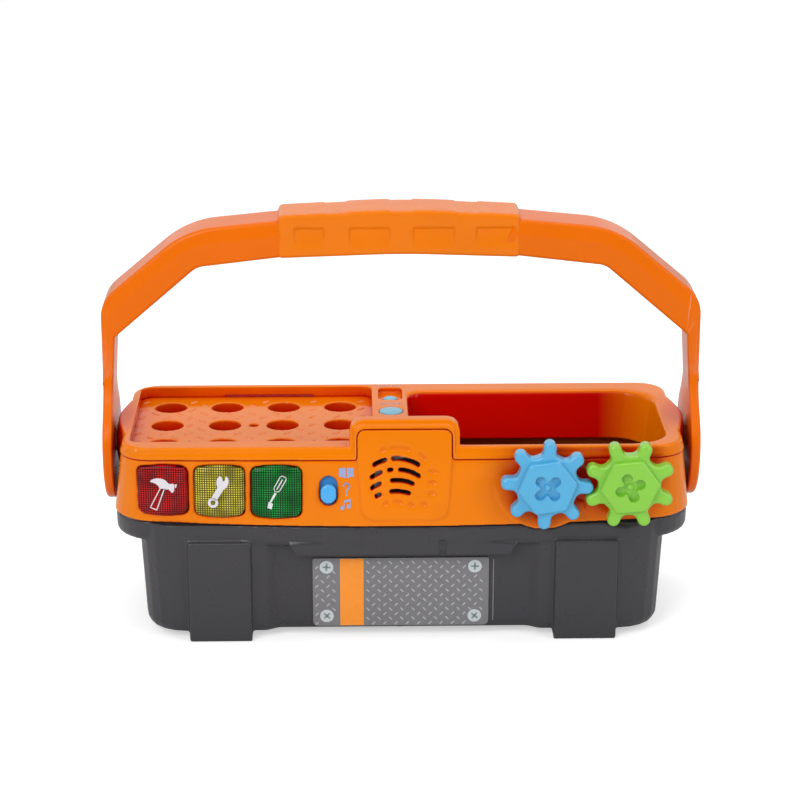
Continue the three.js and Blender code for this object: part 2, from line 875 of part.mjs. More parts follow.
function speakerSlots() {
  const deepCut = (outline) => solid(prism(outline, 'y', 2 * slopeFootY, slopeFootY / 2));
  const shallow = behindSlope(padProud + overrun, overrun + slotBlind);
  const slots = [];
  slotShares.forEach((row, i) => {
    const centre = slotTop - i * slotPitch - slotArc;
    for (const [from, to, through] of row) {
      const arc = (radius) => slotSteps.map((share) => {
        const x = slotReach * (from + (to - from) * share) - slotShift;
        return new THREE.Vector2(hoodCentre + slotShift + x, centre + Math.sqrt(radius ** 2 - x ** 2));
      });
      const outline = [...arc(slotArc - slotWidth / 2), ...arc(slotArc + slotWidth / 2).reverse()];
      slots.push(through ? deepCut(outline) : deepCut(outline).intersect(shallow));
    }
  });
  for (const [row, from, to] of dashShares) {
    const z = slotTop - row * slotPitch - slotWidth / 2;
    slots.push(deepCut(rounded(rectangle(
      hoodCentre + slotReach * from,
      hoodCentre + slotReach * to,
      z - slotWidth / 2,
      z + slotWidth / 2,
      slotWidth / 2,
    ), 0, 2)).intersect(shallow));
  }
  return slots;
}

// Orange side housing, from the parting line up to the groove, with the tongue up the hood
function makeSideHousing() {
  const top = grooveHeight - fit;
  const outer = wallLevels(partingHeight, ledgeFoot, 0);
  const share = housingShare(-grooveGap / 2);
  const bosses = pivotSides.map((side) => sideBoss(side, 0));
  const lean = Math.atan(slopeRise);
  const tongue = local(prism(
    rounded(padCorners.map(([x, z, radius]) => [x, (z - partingHeight) / Math.cos(lean), radius])),
    'y',
    -padProud,
    wall,
    rimEdge,
  ), place(0, slopeFootY, partingHeight, -lean, 0));
  const seatSkin = solid(levels([[gearHeight - seatRadius - overrun, -seatProud], [gearHeight, 0]]));
  const seats = gearX.map((x) => solid(rod(
    'y',
    seatRadius,
    gearBackY,
    slopeFootY + 2 * wall,
    x,
    gearHeight,
    seatRadius,
    2 * roundSteps,
  )).intersect(seatSkin));
  const stands = gearX.map((x) => solid(rod(
    'y',
    standRadius - wall / 2,
    gearBackY + 2 * fit,
    slopeFootY + 3 * wall,
    x,
    gearHeight,
    standRadius,
    2 * roundSteps,
  )));
  const bushRadius = seatRadius / 3;
  const bushes = gearX.map((x) => solid(rod(
    'y',
    bushRadius,
    slopeFootY,
    shaftEndY - fit,
    x,
    gearHeight,
  )));
  const body = joined([outer, ...bosses, ...seats, ...stands]).subtract(innerShell);
  const windows = lightPlaces.map((at) => local(
    prism(lightOutline(-fit), 'y', -3 * wall, 3 * wall),
    at,
  ));
  const slideWindow = local(prism(
    rounded(rectangle(-slideSlotHalf, slideSlotHalf, -slideSlotTall, slideSlotTall, slideSlotHalf)),
    'y',
    -3 * wall,
    3 * wall,
  ), slidePlace);
  const bores = gearX.map((x) => solid(rod('y', shaftRadius + fit, 2 * slopeFootY, 0, x, gearHeight)));
  const wallMiddle = wallLevels(partingHeight, top, wall / 2);
  const ribPlaces = [
    lightFirst + lightPitch / 2,
    lightFirst + 3 * lightPitch / 2,
    slideX - 2 * slideSlotHalf,
  ];
  const ribs = ribPlaces.map((x) => solid(block(
    x - finePlate / 2,
    x + finePlate / 2,
    panelFront(x, partingHeight) + wall,
    keyBoardFront - fit,
    partingHeight + 2 * upstand,
    trayUnder - fit,
  )).intersect(wallMiddle));
  const posts = flangeScrews.map(([x, y]) => solid(rod(
    'z',
    screwPost,
    partingHeight,
    partingHeight + 4 * upstand,
    x,
    y,
  )).intersect(wallMiddle));
  const pilots = flangeScrews.map(([x, y]) => solid(rod(
    'z',
    screwHole,
    partingHeight - overrun,
    partingHeight + 3 * upstand,
    x,
    y,
    screwHole,
    screwSteps,
  )));
  const shape = joined([body, tongue, ...bushes.map((bush) => bush.intersect(outer)), ...ribs, ...posts]);
  const cutters = [...windows, slideWindow, ...speakerSlots(), ...bores, ...pivotBores, ...pilots];
  add('side_housing', cut(shape.intersect(share), cutters), orange);
}

// Orange top deck: rim, lip band, speaker hood, tray opening and the tool well's skirt
function wellOutline(down, inset) {
  const share = down / wellDeep;
  const draft = share * wellDraft;
  const front = wellFront + share * wellFrontDraft;
  return rounded(
    [[wellRight - draft, front, wellCorner], [wellRight - draft, wellBack - draft, wellCorner],
      [wellLeft + draft / 2, wellBack - draft, wellInnerCorner],
      [wellLeft + draft / 2, wellNotchY, wellNotchCorner],
      [wellNotchX, wellNotchY, wellNotchCorner], [wellNotchX, front, wellNotchCorner]],
    inset,
    5,
  );
}

function wellLoft(list) {
  return solid(loft(list.map(([down, inset]) => ({
    height: rimHeight - down,
    outline: wellOutline(down, inset),
  }))));
}

// The rolled edge of the well, as a cutter that stays clear of the hood
function wellEdge() {
  const steps = 4;
  const list = [[-overrun, -wellRound]];
  for (let step = 0; step <= steps; step++) {
    const turn = Math.PI / 2 * step / steps;
    list.push([wellRound * (1 - Math.cos(turn)), wellRound * (Math.sin(turn) - 1)]);
  }
  list.push([2 * wellRound, 0]);
  return wellLoft(list).subtract(solid(block(
    0,
    hoodCentre + hoodHalf,
    -rimFront,
    hoodBack,
    rimHeight - 2 * wellRound - overrun,
    hoodTop,
  )));
}

function makeTopDeck() {
  const band = solid(levels([
    [grooveHeight - wall, -bandProud], [ledgeFoot, -bandProud], [ledgeTop, 0], [rimHeight - rimEdge, 0],
    [rimHeight, rimEdge],
  ]));
  const above = solid(block(-armOuter, armOuter, -armOuter, armOuter, grooveHeight, rimHeight));
  const bosses = pivotSides.map((side) => sideBoss(side, 0).intersect(above));
  const hoodOuter = solid(prism(rounded(hoodCorners), 'y', 2 * slopeFootY, hoodBack, 0))
    .intersect(behindSlope(-hoodStepDeep));
  const hoodInner = solid(prism(rounded(hoodCorners, hoodStep), 'y', 2 * slopeFootY, hoodBack - wall))
    .intersect(behindSlope(bandProud));
  const deck = joined([band, ...bosses]).subtract(innerShell);
  const hoodRoom = solid(prism(rounded(hoodCorners, wall), 'y', slopeFootY, hoodBack - wall))
    .intersect(behindSlope(-wall - hoodStepDeep));
  const trayWalls = solid(prism(rounded(trayOutline), 'z', rimHeight - trayDrop, rimHeight - wall / 2));
  const trayHole = solid(prism(
    rounded(rectangle(trayLeft, trayRight, trayFront, trayBack, trayCorner)),
    'z',
    rimHeight - 2 * trayDrop,
    rimHeight + overrun,
  ));
  const skirt = wellLoft([[0, -skirtWall], [wellDeep, -skirtWall]]).intersect(solid(block(
    0,
    armOuter,
    -armOuter,
    armOuter,
    rimHeight - wellDeep,
    rimHeight - wall / 2,
  )));
  const wellHole = wellLoft([[-overrun, 0], [wellDeep + overrun, 0]]);
  const onFloor = solid(block(
    bridgeX - onPocketHalf - wall / 2,
    bridgeX + onPocketHalf + wall / 2,
    onPocketFront - wall,
    onPocketBack + wall,
    rimHeight - onPocketDeep - wall,
    rimHeight - wall / 2,
  ));
  const onPocket = solid(prism(
    rounded(rectangle(
      bridgeX - onPocketHalf,
      bridgeX + onPocketHalf,
      onPocketFront,
      onPocketBack,
      onPocketHalf / 2,
    )),
    'z',
    rimHeight - onPocketDeep,
    rimHeight + overrun,
  ));
  const onHole = solid(rod('z', onRadius + fit, rimHeight - 4 * wall, rimHeight, bridgeX, onY));
  const offHole = solid(rod('z', offRadius + fit, rimHeight - 4 * wall, rimHeight + overrun, bridgeX, offY));
  const boardPosts = [offY - 2 * offRadius, onPocketFront - 1.8 * wall].map((y) => solid(rod(
    'z',
    wall,
    topBoardHeight + finePlate + fit,
    rimHeight - wall / 2,
    bridgeX,
    y,
    wall,
    screwSteps,
  )));
  const front = joined([deck, hoodOuter, hoodInner]).subtract(housingShare(grooveGap / 2));
  const solidDeck = joined([front, trayWalls, skirt, onFloor, ...boardPosts]);
  const cutters = [trayHole, wellHole, wellEdge(), hoodRoom, onPocket, onHole, offHole, ...pivotBores];
  add('top_deck', cut(solidDeck, cutters), orange);
}

// Peg tray: the plate under the deck's opening, with its closed sockets
function makePegTray() {
  const floor = rimHeight - trayDrop;
  const plate = solid(prism(
    rounded(trayOutline),
    'z',
    floor - trayPlate,
    floor,
  )).intersect(roomBehindWalls);
  const sockets = [];
  const holes = [];
  for (let column = 0; column < pegColumns; column++) {
    for (let row = 0; row < pegRows; row++) {
      const x = pegCentreX + pegPitch * (column - (pegColumns - 1) / 2);
      const y = pegCentreY + pegPitch * (row - (pegRows - 1) / 2);
      const outer = pegRadius + pegWall;
      const foot = floor - pegDepth - pegWall;
      sockets.push(solid(rod('z', outer, foot, floor - trayPlate / 2, x, y, outer, roundSteps / 2)));
      holes.push(solid(rod('z', pegRadius, floor - pegDepth, floor + overrun, x, y)));
    }
  }
  const inMiddle = (radius, from, to) => solid(rod('z', radius, from, to, pegCentreX, pegCentreY));
  const post = inMiddle(screwHead + wall, floor - pegDepth / 2, floor - trayPlate / 2);
  const counterbore = inMiddle(screwHead - fit, floor - 2 * trayPlate, floor + overrun);
  const pilot = inMiddle(screwRadius / 2, floor - pegDepth, floor);
  add('peg_tray', cut(joined([plate, ...sockets, post]), [...holes, counterbore, pilot]), orange);
}

// Speaker behind the slotted front
function makeSpeaker() {
  const backY = slopeFootY + slopeRise * (speakerHeight - partingHeight) + wall + 4 * fit;
  const at = place(hoodCentre, backY, speakerHeight, -Math.atan(slopeRise), 0);
  const turned = (list) => {
    const profile = list.map(([radius, height]) => new THREE.Vector2(radius, height));
    return new THREE.LatheGeometry(profile, roundSteps);
  };
  const basket = turned([
    [speakerRadius - 2 * finePlate, 0], [speakerRadius, 0], [speakerRadius, finePlate],
    [speakerRadius - finePlate, finePlate], [magnetRadius + finePlate, speakerDepth],
    [magnetRadius - finePlate, speakerDepth], [magnetRadius - finePlate, speakerDepth - finePlate],
    [magnetRadius, speakerDepth - finePlate], [speakerRadius - 2 * finePlate, finePlate],
    [speakerRadius - 2 * finePlate, 0],
  ]);
  const cone = turned([
    [0, speakerDepth - 3 * finePlate], [magnetRadius / 2, speakerDepth - 3 * finePlate],
    [speakerRadius - 2 * finePlate - fit, fit], [speakerRadius - 2 * finePlate - fit, finePlate / 2],
    [magnetRadius / 2, speakerDepth - 2 * finePlate - fit], [0, speakerDepth - 2 * finePlate - fit],
  ]);
  const magnet = turned([
    [0, speakerDepth + fit], [magnetRadius, speakerDepth + fit],
    [magnetRadius, speakerDepth + fit + magnetDepth], [0, speakerDepth + fit + magnetDepth],
  ]);
  add('speaker_basket', local(basket, at), 0x8f9296, 0.4, 0.8);
  add('speaker_cone', local(cone, at), 0x1d1d1f, 0.8);
  add('speaker_magnet', local(magnet, at), 0x3a3b3d, 0.5, 0.5);
}

// Light buttons with their guides, lamps, switches and board
function makeLightButtons() {
  const boardTop = trayUnder - fit;
  const boardLeft = lightFirst - lightHalfWidth;
  const boardRight = slideX + 2 * slideSlotHalf;
  const board = solid(block(
    boardLeft,
    boardRight,
    keyBoardFront,
    keyBoardFront + finePlate,
    lightHeight - lightHalfHeight,
    boardTop,
  ));
  add('key_board', board, 0x1f6b3a, 0.5);
  lightPlaces.forEach((at, i) => {
    const x = lightFirst + i * lightPitch;
    const lipFront = wall + 2 * fit;
    const lens = local(prism(lightOutline(0), 'y', -lightProud, lipFront + finePlate / 2, rimEdge / 2), at);
    const lip = local(block(
      -lightTabHalf,
      lightTabHalf,
      lipFront,
      lipFront + finePlate,
      -lightHalfHeight - lightTab,
      lightHalfHeight + lightTab,
    ), at);
    add(`${lightNames[i]}_lens`, lens.add(lip.intersect(roomBehindWalls)), lightColours[i], 0.15);
    const end = keyBoardFront - keySwitchHeight - lightTravel - 2 * fit;
    const guideFront = lipFront + finePlate;
    const tube = local(block(-guideHalf, guideHalf, guideFront, 4 * guideFront, -guideHalf, guideHalf), at);
    const bore = local(block(
      -guideHalf + guideWall,
      guideHalf - guideWall,
      0,
      5 * guideFront,
      -guideHalf + guideWall,
      guideHalf - guideWall,
    ), at);
    const front = solid(block(-armOuter, armOuter, 2 * slopeFootY, end, 0, rimHeight));
    add(`${lightNames[i]}_light_guide`, tube.subtract(bore).intersect(front), 0xf2f2ee, 0.4);
    const led = solid(rod('y', ledRadius, keyBoardFront - ledLength, keyBoardFront, x, lightHeight));
    add(`${lightNames[i]}_lamp`, led, lightColours[i], 0.2);
    const switchBody = solid(block(
      x - keySwitchHalf,
      x + keySwitchHalf,
      keyBoardFront - keySwitchHeight,
      keyBoardFront,
      lightHeight - guideHalf - keySwitchHalf + guideWall,
      lightHeight - guideHalf + keySwitchHalf + guideWall,
    ));
    add(`${lightNames[i]}_key_switch`, switchBody, 0x2a2a2c, 0.5);
  });
}

// Slide switch
function makeSlideSwitch() {
  const low = -slideSlotTall + slideKnobTall + fit;
  const knobHalf = slideSlotHalf - fit;
  const knob = prism(
    rounded(rectangle(-knobHalf, knobHalf, low - slideKnobTall, low + slideKnobTall, knobHalf)),
    'y',
    -slideProud,
    wall + 2 * fit + finePlate / 2,
    rimEdge,
  );
  const plate = block(
    -slideSlotHalf - finePlate,
    slideSlotHalf + finePlate,
    wall + 2 * fit,
    wall + 2 * fit + finePlate,
    low - slideKnobTall - 2 * finePlate,
    low + slideKnobTall + 2 * finePlate,
  );
  const slider = local(knob, slidePlace).add(local(plate, slidePlace).intersect(roomBehindWalls));
  add('mode_slider', slider, 0x4fa9e8, 0.3);
  const bodyY = wall + 3 * fit + finePlate;
  const body = local(block(
    -slideSlotHalf,
    slideSlotHalf,
    bodyY,
    bodyY + 5 * wall,
    -slideSlotHalf,
    slideSlotHalf,
  ), slidePlace);
  const front = solid(block(-armOuter, armOuter, 2 * slopeFootY, keyBoardFront, 0, rimHeight));
  add('slide_switch_body', body.intersect(front), 0x2a2a2c, 0.5);
}

// ON and OFF buttons with their board
function makePushButtons() {
  const boardTop = topBoardHeight + finePlate;
  const board = block(
    bridgeX - onPocketHalf,
    bridgeX + onPocketHalf,
    offY - 3 * offRadius,
    onPocketBack - wall,
    topBoardHeight,
    boardTop,
  );
  add('top_board', solid(board), 0x1f6b3a, 0.5);
  const kinds = [
    ['on', onY, onRadius, rimHeight - onPocketDeep, onPocketDeep - pushTravel / 2],
    ['off', offY, offRadius, rimHeight, rimEdge / 2],
  ];
  for (const [name, y, radius, surface, proud] of kinds) {
    const under = surface - wall - fit;
    const profile = [
      [0, under - pushFlange], [radius + pushLip, under - pushFlange], [radius + pushLip, under],
      [radius, under], [radius, surface + proud / 2], [capFlatShare * radius, surface + proud],
      [0, surface + proud],
    ].map(([r, h]) => new THREE.Vector2(r, h));
    const cap = new THREE.LatheGeometry(profile, roundSteps).rotateX(Math.PI / 2).translate(bridgeX, y, 0);
    add(`${name}_button`, solid(cap), 0x74bcd8, 0.35);
    const top = under - pushFlange - pushTravel - fit;
    const body = block(
      bridgeX - keySwitchHalf,
      bridgeX + keySwitchHalf,
      y - keySwitchHalf,
      y + keySwitchHalf,
      boardTop,
      top,
    );
    add(`${name}_key_switch`, solid(body), 0x2a2a2c, 0.5);
  }
}

// Two meshed gears on shafts through the seats of the housing
function gearOutline(phase) {
  const outline = [];
  const filletAt = Math.sqrt((gearRoot + toothFillet) ** 2 - (toothHalf + toothFillet) ** 2);
  const filletTurn = Math.atan2(toothHalf + toothFillet, filletAt);
  const tipAt = gearTip - toothHalf;
  const filletSteps = 2;
  const tipSteps = 4;
  for (let tooth = 0; tooth < gearTeeth; tooth++) {
    const turn = phase + tooth * 2 * Math.PI / gearTeeth;
    const push = (x, y) => outline.push(new THREE.Vector2(x, y).rotateAround(new THREE.Vector2(), turn));
    const fillet = (side, share) => {
      const angle = Math.PI - filletTurn - (Math.PI / 2 - filletTurn) * share;
      const drop = toothHalf + toothFillet - toothFillet * Math.sin(angle);
      push(filletAt + toothFillet * Math.cos(angle), side * drop);
    };
    for (let step = 0; step <= filletSteps; step++) fillet(-1, step / filletSteps);
    for (let step = 0; step <= tipSteps; step++) {
      const angle = -Math.PI / 2 + Math.PI * step / tipSteps;
      push(tipAt + toothHalf * Math.cos(angle), toothHalf * Math.sin(angle));
    }
    for (let step = filletSteps; step >= 0; step--) fillet(1, step / filletSteps);
  }
  return outline;
}

function makeGears() {
  const phases = [0, Math.PI / gearTeeth];
  const hexTurns = [0.14, 0.09];
  const crossTurns = [0.75, 0.36];
  gearX.forEach((x, i) => {
    const frontY = gearBackY - gearThick;
    const wheel = solid(prism(gearOutline(phases[i]), 'y', frontY, gearBackY, gearBevel));
    const hexOutline = [];
    for (let side = 0; side < 6; side++) {
      const angle = hexTurns[i] + side * Math.PI / 3;
      hexOutline.push(new THREE.Vector2(hexRadius * Math.cos(angle), hexRadius * Math.sin(angle)));
    }
    const plateau = solid(prism(hexOutline, 'y', frontY - hexTall, gearBackY - gearThick / 2, hexBevel));
    const crosses = [0, Math.PI / 2].map((turn) => {
      const arm = prism(
        rounded(rectangle(-crossArm, crossArm, -crossHalf, crossHalf, crossHalf), 0, 3),
        'y',
        frontY - hexTall - overrun,
        frontY - hexTall + crossDeep,
      );
      return solid(arm.rotateY(-crossTurns[i] - turn));
    });
    const turned = (radius, from, to, steps) => solid(rod('y', radius, from, to, 0, 0, radius, steps));
    const boss = turned(crossBoss, frontY - hexTall + crossDeep / 2, gearBackY - gearThick / 2, screwSteps);
    const hub = turned(hubRadius, gearBackY - overrun, gearBackY + fit, roundSteps);
    const shaft = turned(shaftRadius, gearBackY - overrun, shaftEndY, roundSteps);
    const pilot = turned(screwHole, shaftEndY - 4 * overrun, shaftEndY + overrun, screwSteps);
    const body = cut(joined([wheel, plateau, hub, shaft]), [...crosses, pilot]).add(boss);
    const name = gearNames[i];
    add(`${name}_gear`, body.translate([x, 0, gearHeight]), gearColours[i], 0.3);
    const washerEnd = shaftEndY + washerThick;
    washer(`${name}_gear_washer`, 'y', shaftRadius + wall, screwHole, shaftEndY, washerEnd, x, gearHeight);
    screw(`${name}_gear_screw`, 'y', washerEnd, 3 * overrun, -1, x, gearHeight);
  });
}

// Carry handle: arched frame with an open channel behind, its cover, and the grip sleeve
const handleCorners = [
  [armInner, pivotHeight + paddleRadius / 2], [armOuter, pivotHeight + paddleRadius / 2],
  [armOuter, shoulderHeight, shoulderRound], [elbowX, elbowHeight, elbowRound],
  [0, crownHeight, crownRound], [-elbowX, elbowHeight, elbowRound],
  [-armOuter, shoulderHeight, shoulderRound], [-armOuter, pivotHeight + paddleRadius / 2],
  [-armInner, pivotHeight + paddleRadius / 2], [-armInner, armStraight],
  [-armInnerTop, armInnerCorner, armCornerRound], [-underElbowX, underElbowHeight, underElbowRound],
  [0, underCrownHeight, underCrownRound], [underElbowX, underElbowHeight, underElbowRound],
  [armInnerTop, armInnerCorner, armCornerRound], [armInner, armStraight],
];
const gripCorners = [
  [-gripHalf, gripFootEnd, gripCorner], [0, gripFootMiddle, gripRound],
  [gripHalf, gripFootEnd, gripCorner], [gripHalf, gripTopEnd, gripCorner],
  [0, gripTopMiddle, gripRound], [-gripHalf, gripTopEnd, gripCorner],
];

const barCorners = [
  [armInnerTop, armInnerCorner, armCornerRound], [armOuter, shoulderHeight, armCornerRound],
  [elbowX, elbowHeight, elbowRound], [0, crownHeight, crownRound],
  [-elbowX, elbowHeight, elbowRound], [-armOuter, shoulderHeight, armCornerRound],
  [-armInnerTop, armInnerCorner, armCornerRound], [-underElbowX, underElbowHeight, underElbowRound],
  [0, underCrownHeight, underCrownRound], [underElbowX, underElbowHeight, underElbowRound],
];

function slab(halfX, y0, y1) {
  return solid(block(-halfX, halfX, y0, y1, pivotHeight, 2 * crownHeight));
}

function makeHandle() {
  const arch = solid(prism(rounded(handleCorners), 'y', -handleHalfDepth, handleHalfDepth, handleBevel));
  const paddleOutline = rounded([
    [-paddleRadius, pivotHeight - paddleRadius, paddleRadius],
    [paddleRadius, pivotHeight - paddleRadius, paddleRadius],
    [paddleRadius, paddleShoulder, paddleBend], [handleHalfDepth, paddleNeck, paddleRadius],
    [handleHalfDepth, armInnerCorner - handleHalfDepth],
    [-handleHalfDepth, armInnerCorner - handleHalfDepth],
    [-handleHalfDepth, paddleNeck, paddleRadius], [-paddleRadius, paddleShoulder, paddleBend],
  ], 0, 7);
  const paddles = pivotSides.map((side) => solid(prism(
    paddleOutline,
    'x',
    side < 0 ? -armOuter : armInner,
    side < 0 ? -armInner : armOuter,
    handleBevel / 2,
  )));
  const stubs = pivotSides.map((side) => solid(rod(
    'x',
    pivotRadius,
    Math.min(side * pivotEnd, side * (armInner + overrun)),
    Math.max(side * pivotEnd, side * (armInner + overrun)),
    0,
    pivotHeight,
  )));
  const collars = pivotSides.map((side) => solid(rod(
    'x',
    pivotRadius + wall,
    Math.min(side * (bossFace + fit), side * (armInner + overrun)),
    Math.max(side * (bossFace + fit), side * (armInner + overrun)),
    0,
    pivotHeight,
  )));
  const pilots = pivotSides.map((side) => solid(rod(
    'x',
    screwHole,
    Math.min(side * (pivotEnd - overrun), side * (pivotEnd + 4 * overrun)),
    Math.max(side * (pivotEnd - overrun), side * (pivotEnd + 4 * overrun)),
    0,
    pivotHeight,
    screwHole,
    screwSteps,
  )));
  const gripGap = slab(gripHalf + fit, -gripHalfDepth - overrun, gripHalfDepth + overrun);
  const coreInset = gripWall + fit;
  const coreHalfDepth = gripHalfDepth - coreInset;
  const core = solid(prism(rounded(gripCorners, coreInset), 'y', -coreHalfDepth, coreHalfDepth));
  const coreLink = pivotSides.map((side) => solid(prism(
    rounded(rectangle(
      side < 0 ? -gripHalf - 2 * overrun : gripHalf - 4 * gripWall,
      side < 0 ? -gripHalf + 4 * gripWall : gripHalf + 2 * overrun,
      gripFootEnd + 2 * gripWall,
      gripTopEnd - 3 * gripWall,
    )),
    'y',
    -coreHalfDepth,
    coreHalfDepth,
  )));
  const spans = (inset) => pivotSides.map((side) => {
    const near = side * (gripHalf + 3 * channelWall + inset);
    const far = side * (channelEndX - inset);
    return solid(block(
      Math.min(near, far),
      Math.max(near, far),
      -handleHalfDepth,
      2 * handleHalfDepth,
      pivotHeight,
      2 * crownHeight,
    ));
  });
  const channel = solid(prism(
    rounded(barCorners, channelWall),
    'y',
    -handleHalfDepth + channelWall,
    handleHalfDepth + overrun,
  ));
  const channels = spans(0).map((span) => channel.intersect(span));
  const frame = joined([arch.subtract(gripGap), ...paddles, ...stubs, ...collars, core, ...coreLink]);
  add('handle_frame', cut(frame, [...channels, ...pilots]), orange);

  const cover = solid(prism(
    rounded(barCorners, channelWall + fit),
    'y',
    handleHalfDepth - coverThick,
    handleHalfDepth - fit,
  ));
  const coverSpans = spans(fit);
  add('handle_cover_left', cover.intersect(coverSpans[0]), orange);
  add('handle_cover_right', cover.intersect(coverSpans[1]), orange);

  const sleeve = solid(prism(rounded(gripCorners), 'y', -gripHalfDepth, gripHalfDepth, gripBevel));
  const sleeveRoom = solid(prism(rounded([
    [-2 * gripHalf, gripFootEnd - (gripFootMiddle - gripFootEnd)], [0, gripFootMiddle, gripRound],
    [2 * gripHalf, gripFootEnd - (gripFootMiddle - gripFootEnd)],
    [2 * gripHalf, gripTopEnd - (gripTopMiddle - gripTopEnd)], [0, gripTopMiddle, gripRound],
    [-2 * gripHalf, gripTopEnd - (gripTopMiddle - gripTopEnd)],
  ], gripWall), 'y', -gripHalfDepth + gripWall, gripHalfDepth - gripWall));
  const dimples = dimpleCentres.flatMap((x, i) => pivotSides.map((side) => {
    const face = side * gripHalfDepth;
    const deep = side * (gripHalfDepth - dimpleDeep);
    return solid(block(
      x - dimpleHalf[i],
      x + dimpleHalf[i],
      Math.min(face + side * overrun, deep),
      Math.max(face + side * overrun, deep),
      dimpleHeight - dimpleTall,
      dimpleHeight + dimpleTall,
    ));
  }));
  add('grip_sleeve', cut(sleeve, [sleeveRoom, ...dimples]), 0xf0800f, 0.45);

  pivotSides.forEach((side) => {
    const name = side < 0 ? 'left' : 'right';
    const near = side * pivotEnd;
    const far = side * (pivotEnd - washerThick);
    const [from, to] = side < 0 ? [near, far] : [far, near];
    washer(`${name}_pivot_washer`, 'x', pivotRecess - 2 * fit, screwHole, from, to, 0, pivotHeight);
    screw(`${name}_pivot_screw`, 'x', far, 3 * overrun, side, 0, pivotHeight);
  });
}

// Batteries, their contacts and the door under the tub
function makeBatteries() {
  const cellHeight = batteryTop - cellRadius - fit;
  const start = batteryX - batteryHalfLong + contactThick + contactReach + 2 * fit;
  for (let cell = 0; cell < cellCount; cell++) {
    const y = cellPitch * (cell - (cellCount - 1) / 2);
    const end = start + cellLength;
    const can = solid(rod('x', cellRadius, start, end, y, cellHeight));
    const nubEnd = end + cellNubLong;
    const nub = solid(rod('x', cellNub, end - cellNub / 2, nubEnd, y, cellHeight, cellNub, screwSteps));
    add(`battery_cell_${cell + 1}`, can.add(nub), 0x35383d, 0.35, 0.4);
  }
  const cellEnd = start + cellLength + cellNubLong + fit;
  const left = [solid(block(
    batteryX - batteryHalfLong + fit,
    batteryX - batteryHalfLong + fit + contactThick,
    -batteryHalfWide + fit,
    batteryHalfWide - fit,
    batteryTop - 2 * cellRadius,
    batteryTop - fit,
  ))];
  const right = [solid(block(
    cellEnd,
    cellEnd + contactThick,
    -batteryHalfWide + fit,
    batteryHalfWide - fit,
    batteryTop - 2 * cellRadius,
    batteryTop - fit,
  ))];
  for (let cell = 0; cell < cellCount; cell++) {
    const y = cellPitch * (cell - (cellCount - 1) / 2);
    const springFrom = batteryX - batteryHalfLong + fit;
    left.push(solid(rod(
      'x',
      cellRadius / 2,
      springFrom,
      start - fit,
      y,
      cellHeight,
      cellNub / 2,
      screwSteps,
    )));
    right.push(solid(block(
      cellEnd,
      batteryX + batteryHalfLong - fit,
      y - cellNub,
      y + cellNub,
      cellHeight - cellNub,
      cellHeight + cellNub,
    )));
  }
  add('battery_contact_left', joined(left), 0xc0c3c6, 0.3, 0.9);
  add('battery_contact_right', joined(right), 0xc0c3c6, 0.3, 0.9);
  const door = solid(prism(
    rounded(rectangle(doorLeft, doorRight, -doorHalfWide, doorHalfWide, doorLip / 2)),
    'z',
    tubFoot,
    tubFoot + doorThick,
  ));
  const holeEnd = tubFoot + 2 * doorThick;
  const hole = solid(rod('z', screwHole, tubFoot - overrun, holeEnd, doorScrewX, 0, screwHole, screwSteps));
  add('battery_door', door.subtract(hole), charcoal, 0.5);
  screw('battery_door_screw', 'z', tubFoot, 4 * overrun, 1, doorScrewX, 0);
}

// Main board, under the sockets of the peg tray
function makeMainBoard() {
  const top = rimHeight - trayDrop - pegDepth - pegWall - fit;
  const halfX = pegPitch * pegColumns / 2 - pegRadius;
  const halfY = pegPitch * pegRows / 2 - pegRadius;
  const board = block(
    pegCentreX - halfX,
    pegCentreX + halfX,
    pegCentreY - halfY,
    pegCentreY + halfY,
    top - finePlate,
    top,
  );
  add('main_board', solid(board), 0x1f6b3a, 0.5);
  const chip = block(
    pegCentreX - pegRadius,
    pegCentreX + pegRadius,
    pegCentreY - pegRadius,
    pegCentreY + pegRadius,
    top - 2 * finePlate,
    top - finePlate,
  );
  add('sound_chip', solid(chip), 0x1b1b1d, 0.6);
}

// Flange screws and the front label
function makeTrim() {
  const seat = flangeFoot + 2 * screwHeadTall;
  for (const [name, y] of [['front', flangeScrewFront], ['back', flangeScrewBack]]) {
    const length = partingHeight - seat + 2 * upstand;
    screw(`housing_screw_${name}_left`, 'z', seat, length, 1, -flangeScrewX, y);
    screw(`housing_screw_${name}_right`, 'z', seat, length, 1, flangeScrewX, y);
  }
  const at = (z, proud) => {
    const share = (flangeFoot - z) / (flangeFoot - tubFoot);
    return dentDepth - tubDepth - share * (tubFootDepth - tubDepth) - proud;
  };
  const side = [
    [at(labelFoot, labelThick + fit), labelFoot], [at(labelFoot, fit), labelFoot],
    [at(labelTop, fit), labelTop], [at(labelTop, labelThick + fit), labelTop],
  ].map(([y, z]) => new THREE.Vector2(y, z));
  const plate = solid(prism(side, 'x', labelCentre - labelHalf, labelCentre + labelHalf));
  const outline = solid(prism(
    rounded(rectangle(
      labelCentre - labelHalf,
      labelCentre + labelHalf,
      labelFoot,
      labelTop,
      labelCorner,
    ), 0, 3),
    'y',
    2 * slopeFootY,
    0,
  ));
  add('front_label', plate.intersect(outline), 0x7b7b7d, 0.4);
}

makeTub();
makeSideHousing();
makeTopDeck();
makePegTray();
makeSpeaker();
makeLightButtons();
makeSlideSwitch();
makePushButtons();
makeGears();
makeHandle();
makeBatteries();
makeMainBoard();
makeTrim();

// The box stands centred between the gears' front faces and the back of its lower edge
const frontReach = -(gearBackY - gearThick - hexTall);
toolBox.position.y = (frontReach - skirtBack) / 2;

export default toolBox;
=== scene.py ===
"""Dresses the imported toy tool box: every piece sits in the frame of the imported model."""

import json
import math

